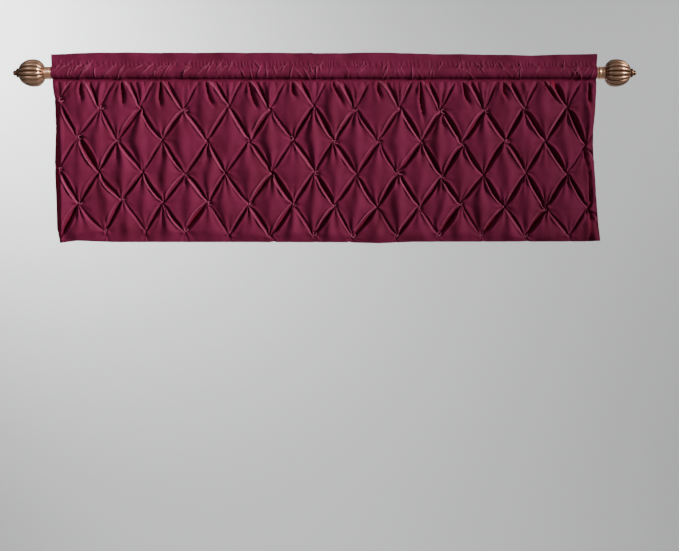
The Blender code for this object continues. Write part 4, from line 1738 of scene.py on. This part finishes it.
@dataclass
class Heading:
    """Header ruffle and rod pocket: one folded strip that hangs the cloth on the rod."""

    half_width: float = 0.6825
    pocket: float = 0.01575
    lowest: float = -70.0
    highest: float = 72.0
    seam_y: float = 0.00185
    top_y: float = 0.00105
    bottom: float = -0.0195
    seam: float = -0.01725
    stitch: float = 0.0205
    header: float = 0.0515
    half_cloth: float = 0.00075
    end_turn: tuple[tuple[float, float], ...] = (
        (0.0090, 0.0007), (0.0050, 0.0007), (0.0016, 0.0006), (0.0003, 0.0003),
    )
    stations: int = 1480
    wrinkles: int = 150
    wrinkle_height: float = 0.0024
    ruffle: float = 0.0018
    ruffle_length: float = 0.045
    gather_pitch: float = 0.034
    gather_height: float = 0.0020
    gather_reach: float = 0.0075
    pucker_pitch: float = 0.023
    pucker_height: float = 0.0018
    pucker_reach: float = 0.0065
    crumple_length: float = 0.026
    crumple_height: float = 0.0009
    # Painted shade share along the seam's bottom points, and painted highlight share on the wrinkle crests.
    seam_shade: float = 0.5
    seam_shade_points: int = 3
    painted_crest_highlight: float = 0.26
    seed: int = 23
    seam_point: int = 1
    stitch_point: int = 21
    thread_out: float = 0.0001
    grid: Array = field(default_factory=lambda: np.zeros((0, 0, 3)))

    def path(self) -> Array:
        """Middle line of the front half, from the bottom edge to the fold, as (y, z).

        Returns:
            One row for each point.
        """
        middle = (self.bottom + self.seam) / 2
        points = [(-self.seam_y, self.bottom), (-self.seam_y, middle), (-self.seam_y, self.seam)]
        for angle in np.radians(np.linspace(self.lowest, self.highest, 17)):
            points.append((-self.pocket * math.cos(angle), self.pocket * math.sin(angle)))
        points.append((-self.top_y - 0.0012, self.stitch - 0.0022))
        points.append((-self.top_y, self.stitch))
        fold = self.header - self.half_cloth - self.top_y
        for share in np.linspace(0.08, 1.0, 9):
            points.append((-self.top_y, mix(self.stitch, fold, share)))
        for angle in np.radians(np.linspace(150, 90, 3)):
            points.append((self.top_y * math.cos(angle), fold + self.top_y * math.sin(angle)))
        return np.array(points)

    def sections(self) -> tuple[Array, Array]:
        """Place along the rod of each section of the strip, and how far its turned ends are drawn in.

        Returns:
            Both, one for each section.
        """
        turned = np.array(self.end_turn)
        along = np.linspace(-self.half_width, self.half_width, self.stations + 1)
        along = np.concatenate([turned[:, 0] - self.half_width, along, self.half_width - turned[::-1, 0]])
        inwards = np.concatenate([turned[:, 1], np.zeros(self.stations + 1), turned[::-1, 1]])
        return along, inwards[:, None]

    def wrinkle_relief(self, x: Array, z: Array) -> tuple[Array, Array]:
        """Thin sharp wrinkles that lean across the pocket and the stitch line, most of all on the left.

        Args:
            x: Place along the rod.
            z: Height.

        Returns:
            How far the wrinkles stand out, and how close each point is to a crest, from 0 to 1.
        """
        draw = np.random.default_rng(self.seed)
        total = np.zeros_like(x)
        crest = np.zeros_like(x)
        for _ in range(self.wrinkles):
            share = draw.uniform(0.0, 1.0)
            centre = mix(-self.half_width, self.half_width, share)
            lean = draw.normal(0.75, 0.35) if share < 0.35 else draw.normal(0.1, 0.6)
            height = draw.uniform(-0.006, 0.022)
            half = draw.uniform(0.007, 0.017)
            width = draw.uniform(0.0010, 0.0019)
            strength = draw.uniform(0.0008, self.wrinkle_height) * (1.3 if share < 0.4 else 1.0)
            off = x - centre - lean * (z - height)
            run = np.exp(-(((z - height) / half) ** 4))
            total += strength * bump(off, 0.0, width) * run
            crest = np.maximum(crest, strength / self.wrinkle_height * bump(off, 0.0, 0.75 * width) * run)
        return total, np.clip(crest, 0.0, 1.0)

    def gathers(self, x: Array, z: Array, belly: Array) -> tuple[Array, ...]:
        """Relief of the gathered cloth.

        Args:
            x: Place along the rod.
            z: Height.
            belly: How full the pocket is at each point, from 0 to 1.

        Returns:
            Gathers above the seam, puckers along the stitch line and soft crumples of the pocket.
        """
        gather = np.abs(np.sin(math.tau * x / self.gather_pitch + 2.0 * ripples(x, x * 0, 0.09, 52))) ** 0.7
        near_seam = bump(z, self.seam, self.gather_reach) * (z > self.bottom + 0.001)
        phase = math.tau * x / self.pucker_pitch + 2.6 * ripples(x, x * 0, 0.07, 53) + 60.0 * z
        puckers = np.abs(np.sin(phase)) ** 0.8
        return (
            self.gather_height * (gather - 0.4) * near_seam * belly,
            self.pucker_height * (puckers - 0.5) * bump(z, self.stitch, self.pucker_reach),
            self.crumple_height * ripples(x, 0.6 * z, self.crumple_length, 54) * belly,
        )

    def fitted_edge(self, z: Array, share: Array) -> Array:
        """Sideways move that fits both ends of the strip to the cloth's outline."""
        left = (outline(LEFT_EDGE_MM, z) + self.half_width) * (1 - share) ** 8
        return left + (outline(RIGHT_EDGE_MM, z) - self.half_width) * share**8

    def hang(self, path: Array, in_front: Array) -> tuple[Array, Array]:
        """Place of all points of the strip.

        Args:
            path: Points of one section, as (y, z).
            in_front: Whether each of them is in the front half.

        Returns:
            Places by section and point of the path, and how close each is to a wrinkle's crest.
        """
        along, inwards = self.sections()
        x, y = np.meshgrid(along, path[:, 0], indexing="ij")
        z = np.meshgrid(along, path[:, 1], indexing="ij")[1]
        facing = np.where(in_front, 1.0, -1.0)[None, :] * np.ones_like(x)
        above = ease((z - self.stitch) / (self.header - self.stitch))
        share = (x + self.half_width) / (2 * self.half_width)
        waves = np.sin(11.5 * math.tau * share + 0.6) + 0.7 * np.sin(4.3 * math.tau * share + 1.9)
        ruffle = self.ruffle * above * (waves + 0.5 * ripples(x, z, self.ruffle_length, 51))
        lift = (outline(HEADER_MM, x) - self.header) * above
        belly = np.clip(np.abs(y) / self.pocket, 0.0, 1.0)
        out, crest = self.wrinkle_relief(x, z)
        for part in self.gathers(x, z, belly):
            out += part
        radius = np.maximum(np.hypot(y, z), 1e-6)
        way_y = np.where(belly > 0.3, y / radius, -facing)
        way_z = np.where(belly > 0.3, z / radius, 0.0)
        inside = np.where(np.abs(z - self.header) < 0.002, 0.2, 1.0)
        moved = out * inside - inwards
        places = [x + self.fitted_edge(z, share), y + moved * way_y + ruffle, z + moved * way_z + lift]
        return np.stack(places, axis=2), crest

    def build(self, material: Material) -> Object:
        """Make the strip.

        Args:
            material: Finish of the cloth.

        Returns:
            The strip's object.
        """
        front = self.path()
        back = front[-2::-3] * np.array([-1.0, 1.0])
        path = np.concatenate([front, back])
        number = np.arange(len(path))
        self.grid, crest = self.hang(path, number < len(front))
        count = len(path)
        starts = (np.arange(len(self.grid) - 1)[:, None] * count + number[None, :-1]).ravel()
        faces = np.stack([starts, starts + 1, starts + count + 1, starts + count], axis=1)
        item = add_mesh("heading_cloth", self.grid.reshape(-1, 3), faces, material)
        # Painted shade along the bottom seam and painted highlight on the wrinkle crests, through the crease
        # attribute.
        shade = np.where(number < self.seam_shade_points, self.seam_shade, -self.painted_crest_highlight * crest)
        add_values(item, "crease", shade.ravel())
        self.face_away_from_rod(item)
        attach(item, BODY)
        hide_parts("heading")
        return item

    def line(self, place: int, inset: float) -> Array:
        """Line along the outside of the strip's front, for a row of stitches.

        Args:
            place: Number of the point of the path that it runs through.
            inset: How far it stays away from both ends.

        Returns:
            The points of the line.
        """
        ends = len(self.end_turn)
        points = self.grid[ends:-ends, place, :].copy()
        points[:, 1] -= self.thread_out
        inside = np.abs(points[:, 0]) < self.half_width - inset
        return points[inside]

    def face_away_from_rod(self, item: Object) -> None:
        """Turn the faces so that the pocket's outside is the cloth's outside.

        Args:
            item: The strip.
        """
        mesh = item.data
        if sum(face.normal.y for face in mesh.polygons if face.center.y < -0.012) > 0.0:
            mesh.flip_normals()


def ring_points(place: float, radius: float | Array, turn: Array) -> Array:
    """Points of one ring around the rod's axis, one for each angle."""
    return np.stack([np.full(len(turn), place), radius * np.cos(turn), radius * np.sin(turn)], axis=1)


def ring_faces(rings: int, sides: int, closed: bool) -> list[tuple[int, ...]]:
    """Faces between neighbouring rings of points.

    Args:
        rings: Number of rings.
        sides: Number of points of each.
        closed: Whether the last ring joins the first.

    Returns:
        Point numbers of each face.
    """
    faces = []
    for ring in range(rings if closed else rings - 1):
        low, high = ring * sides, (ring + 1) % rings * sides
        for corner in range(sides):
            beside = (corner + 1) % sides
            faces.append((low + corner, low + beside, high + beside, high + corner))
    return faces


@dataclass
class Finial:
    """Fluted ball with a ring and a knob on its outside, and a spigot inside the rod."""

    side: Side
    start: float = 0.6998
    rod_centre: float = 0.0015
    ribs: int = 16
    rib_points: int = 14
    spigot: float = 0.0124
    spigot_length: float = 0.018
    tip: float = 0.0795
    plain_crest: float = 0.6
    tip_crest: float = 0.7
    petal_height: float = 0.0010
    profile_mm: tuple[tuple[float, float, float], ...] = (
        (0.0, 13.0, 0.0), (0.6, 15.6, 0.3), (1.5, 18.0, 1.2), (3.0, 21.4, 2.0), (5.0, 24.5, 2.8),
        (8.0, 27.6, 3.4), (12.0, 30.0, 3.9), (17.0, 31.8, 4.2), (23.0, 32.8, 4.4), (30.0, 33.0, 4.4),
        (37.0, 32.6, 4.3), (43.0, 31.2, 4.1), (49.0, 29.0, 3.7), (53.5, 26.2, 3.2), (57.5, 22.5, 2.6),
        (60.5, 18.4, 1.7), (62.5, 14.5, 1.0), (63.8, 11.0, 0.4), (64.6, 9.0, 0.0), (65.4, 9.3, 0.0),
        (66.2, 10.8, 0.0), (67.0, 11.5, 0.0), (67.9, 11.8, 0.0), (68.8, 11.4, 0.0), (69.6, 10.0, 0.0),
        (70.3, 7.6, 0.0), (71.0, 6.2, 0.0), (72.0, 6.0, 0.0), (73.2, 6.5, 0.0), (74.5, 6.7, 0.0),
        (75.9, 6.4, 0.0), (77.2, 5.5, 0.0), (78.3, 4.1, 0.0), (79.1, 2.2, 0.0),
    )

    def build(self, material: Material) -> Object:
        """Make the finial, with the height of its ribs kept as an attribute.

        Args:
            material: Finish of the finial.

        Returns:
            The finial's object.
        """
        sides = self.ribs * self.rib_points
        turn = np.linspace(0.0, math.tau, sides, endpoint=False)
        across = (turn * self.ribs / math.tau) % 1.0
        hollow = 1.0 - np.abs(np.sin(math.pi * across)) ** 0.62
        along, radius, groove = (np.array(self.profile_mm) * MM).T
        places = np.unique(np.concatenate([along, np.linspace(0.002, 0.0625, 46)]))
        radii, depths = np.interp(places, along, radius), np.interp(places, along, groove)
        rings = [ring_points(place, self.spigot, turn) for place in (-self.spigot_length, -0.0001)]
        crests = [np.zeros(sides), np.zeros(sides)]
        for place, size, depth in zip(places, radii, depths):
            petal = self.petal(place, across)
            rings.append(ring_points(place, size - depth * hollow + petal, turn))
            ribbed = np.clip(1.0 - 1.25 * hollow + petal / 0.004, 0.0, 1.0)
            crests.append(np.full(sides, self.plain_crest) if depth < 1e-5 else ribbed)
        faces = ring_faces(len(rings), sides, closed=False)
        last, tip = (len(rings) - 1) * sides, len(rings) * sides
        for corner in range(sides):
            beside = (corner + 1) % sides
            faces.append((last + corner, last + beside, tip))
            faces.append((corner, tip + 1, beside))
        points = np.concatenate([*rings, [[self.tip, 0.0, 0.0], [-self.spigot_length, 0.0, 0.0]]])
        points[:, 0] = self.rod_centre + self.side.value * (self.start + points[:, 0])
        item = add_mesh("fluted_finial_" + self.side.name.lower(), points, faces, material)
        add_values(item, "crest", np.concatenate([*crests, [self.tip_crest, 0.0]]))
        face_outwards(item)
        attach(item, BODY)
        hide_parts("finial_" + self.side.name.lower())
        return item

    def petal(self, place: float, across: Array) -> Array:
        """Rounded leaf end at the neck of each rib, as a small step in its height."""
        edge = 0.0105 - 0.0065 * np.abs(2.0 * across - 1.0) ** 2.0
        return self.petal_height * ease((place - edge) / 0.0016) * (1.0 - ease((place - 0.030) / 0.020))


@dataclass
class Collar:
    """Ferrule ring over one end of the rod, with a lip at each edge."""

    side: Side
    start: float = 0.6845
    rod_centre: float = 0.0015
    bore: float = 0.0143
    sides: int = 96
    profile_mm: tuple[tuple[float, float], ...] = (
        (0.0, 14.6), (0.0, 15.4), (0.35, 15.75), (0.9, 15.8), (2.3, 15.8), (2.9, 15.65), (3.3, 15.25),
        (4.2, 15.15), (10.8, 15.15), (11.7, 15.25), (12.1, 15.65), (12.7, 15.8), (14.1, 15.8),
        (14.65, 15.75), (15.0, 15.4), (15.0, 14.6),
    )

    def build(self, material: Material) -> Object:
        """Make the ring as one closed body.

        Args:
            material: Finish of the ring.

        Returns:
            The ring's object.
        """
        profile = [(place * MM, radius * MM) for place, radius in self.profile_mm]
        profile += [(profile[-1][0], self.bore), (profile[0][0], self.bore)]
        turn = np.linspace(0.0, math.tau, self.sides, endpoint=False)
        rings = []
        for place, radius in profile:
            rings.append(ring_points(self.rod_centre + self.side.value * (self.start + place), radius, turn))
        faces = ring_faces(len(rings), self.sides, closed=True)
        item = add_mesh("ferrule_ring_" + self.side.name.lower(), np.concatenate(rings), faces, material)
        face_outwards(item)
        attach(item, BODY)
        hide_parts("collar_" + self.side.name.lower())
        return item


@dataclass(frozen=True)
class Lamp:
    """Soft square light: its place and aim, its side in metres, its watts, its colour and its full angle."""

    name: str
    place: tuple[float, float, float]
    aim: tuple[float, float, float]
    size: float
    power: float
    colour: str
    spread: float

    def build(self) -> None:
        """Hang the light in the scene."""
        data = bpy.data.lights.new(self.name, "AREA")
        data.spread = math.radians(self.spread)
        data.size = self.size
        data.energy = self.power
        data.color = srgb(self.colour)[:3]
        light = bpy.data.objects.new(self.name, data)
        light.location = self.place
        light.rotation_euler = (Vector(self.aim) - Vector(self.place)).to_track_quat("-Z", "Y").to_euler()
        bpy.context.scene.collection.objects.link(light)


# Key from the right and front, a broad fill from the left, and a wash on each side of the wall
LAMPS = (
    Lamp("key", (4.6, -3.4, 1.5), (-1.6, 0.0, -0.4), 1.1, 55.0, "fffaf4", 34.0),
    Lamp("fill", (-1.9, -2.3, 0.9), (-0.7, 0.0, -0.3), 1.6, 18.5, "f6f8ff", 150.0),
    Lamp("wash", (-3.6, 2.9, 1.9), (-0.5, 4.4, -0.2), 1.4, 165.0, "f8f9ff", 95.0),
    Lamp("right_wash", (3.6, 2.9, 1.9), (0.9, 4.4, -0.2), 1.6, 13.0, "f8f9ff", 90.0),
)


@dataclass
class Studio:
    """Pale cove, soft lights and the camera at the photograph's viewing angle."""

    lens: float = 60.0
    sensor: float = 36.0
    frame_width: float = 1.6975
    centre_x: float = 0.03875
    centre_z: float = -0.50625
    wall_y: float = 4.40
    floor_z: float = -2.75
    reach: float = 6.0
    bend: float = 0.4
    farthest: float = 50.0
    room_grey: float = 0.9
    room_light: float = 0.18

    def build_camera(self) -> None:
        """Put the camera level, square to the wall, with the photograph's framing."""
        data = bpy.data.cameras.new("camera")
        data.lens = self.lens
        data.sensor_width = self.sensor
        data.clip_end = self.farthest
        camera = bpy.data.objects.new("camera", data)
        distance = self.frame_width * self.lens / self.sensor
        camera.location = (self.centre_x, -distance, self.centre_z)
        camera.rotation_euler = (math.radians(90.0), 0.0, 0.0)
        bpy.context.scene.collection.objects.link(camera)
        bpy.context.scene.camera = camera

    def build_cove(self, material: Material) -> None:
        """Make the floor and the wall behind as one bent sheet.

        Args:
            material: Finish of both.
        """
        centre_y, centre_z = self.wall_y - self.bend, self.floor_z + self.bend
        section = [(-self.reach, self.floor_z)]
        for angle in np.radians(np.linspace(-90.0, 0.0, 13)):
            section.append((centre_y + self.bend * math.cos(angle), centre_z + self.bend * math.sin(angle)))
        section.append((self.wall_y, self.reach))
        points = [(x, y, z) for x in (-self.reach, self.reach) for y, z in section]
        count = len(section)
        faces = [(index, index + 1, count + index + 1, count + index) for index in range(count - 1)]
        cove = add_mesh("studio_cove", np.array(points), faces, material)

    def build_lights(self) -> None:
        """Hang the lamps and give the room an even weak light."""
        for lamp in LAMPS:
            lamp.build()
        world = bpy.data.worlds.new("room")
        world.use_nodes = True
        background = world.node_tree.nodes["Background"]
        background.inputs["Color"].default_value = grey(self.room_grey)
        background.inputs["Strength"].default_value = self.room_light
        bpy.context.scene.world = world


@dataclass
class TuckSewing:
    """Curled ears and hand stitches at the tucks of a finished panel."""

    panel: TuckedPanel
    curl_out: float = 0.0060
    curl_reach: float = 0.0072
    curl_share: float = 0.12
    curl_lift: float = 0.0012
    tack_reach: float = 0.0030
    tack_share: float = 0.33
    tack_fan: float = 55.0
    tack_step: float = 0.0005
    thread_out: float = 0.0001
    stitches: int = 3
    seed: int = 77

    def build(self, cloth: Material, thread: Material) -> tuple[Object, Object]:
        """Sew the tucks.

        Args:
            cloth: Finish of the ears.
            thread: Finish of the stitches.

        Returns:
            The ears and the stitches.
        """
        draw = np.random.default_rng(self.seed)
        curls, tacks = [], []
        for row, column, degrees, size in CURLS:
            x, z = beside_tuck(row, column, degrees, self.curl_out * size)
            turn = (draw.uniform(-0.25, 0.25), -math.radians(degrees), draw.uniform(-0.25, 0.25))
            front = self.panel.front_at(x, z, self.curl_reach * size, self.curl_share)
            curls.append(((x, front - self.curl_lift, z), turn, size))
        for row in range(1, self.panel.rows):
            for x_mm, z_mm in TUCKS_MM[row]:
                x, z = x_mm * MM, z_mm * MM
                front = self.panel.front_at(x, z, self.tack_reach, self.tack_share)
                for step in range(self.stitches):
                    turn = math.radians(draw.uniform(-25.0, 25.0) + self.tack_fan * (step - 1))
                    beside = x + draw.uniform(-0.0004, 0.0004)
                    out = front - self.thread_out - self.thread_out * step
                    place = (beside, out, z + self.tack_step * (step - 1))
                    tacks.append((place, (0.0, -turn, 0.0), draw.uniform(0.8, 1.15)))
        return (
            TuckCurls("tuck_curls", *self.columns(curls)).build(cloth),
            TuckTacks("tuck_stitches", *self.columns(tacks)).build(thread),
        )

    def columns(self, listed: list[tuple]) -> list[Array]:
        """Places, turns and sizes of a list of shapes, as arrays."""
        return [np.array(column) for column in zip(*listed)]


def report(item: Object) -> None:
    """Log the name of a piece and how many triangles it has."""
    item.data.calc_loop_triangles()
    LOG.info("%s has %d triangles", item.name, len(item.data.loop_triangles))


def main() -> None:
    """Build the pieces in order and report each one."""
    logging.basicConfig(level=logging.INFO, format="%(name)s: %(message)s")
    studio = Studio()
    studio.build_camera()
    studio.build_cove(MattPaint("matt_wall_paint").build())
    studio.build_lights()
    cloth = WovenMicrofibre("woven_microfibre_burgundy").build()
    thread = SewingThread("spun_polyester_thread").build()
    maker = TuckedPanel()
    panel = maker.build(cloth)
    strip = Heading()
    heading = strip.build(cloth)
    curls, tacks = TuckSewing(maker).build(cloth, thread)
    top_row = StitchRow("top_stitches", strip.line(strip.stitch_point, 0.004)).build(thread)
    seam_row = StitchRow("seam_stitches", strip.line(strip.seam_point, 0.004), seed=8).build(thread)
    pieces = [panel, heading, curls, tacks, top_row, seam_row]
    bronze = AgedBronze("aged_bronze_lacquer_on_resin").build()
    satin = SatinBronze("satin_bronze_lacquered_steel").build()
    for side in Side:
        pieces += [Finial(side).build(bronze), Collar(side).build(satin)]
    rod = bpy.data.objects["rod"]
    rod.data.materials.clear()
    rod.data.materials.append(satin)
    for item in pieces:
        report(item)


if __name__ == "__main__":
    main()
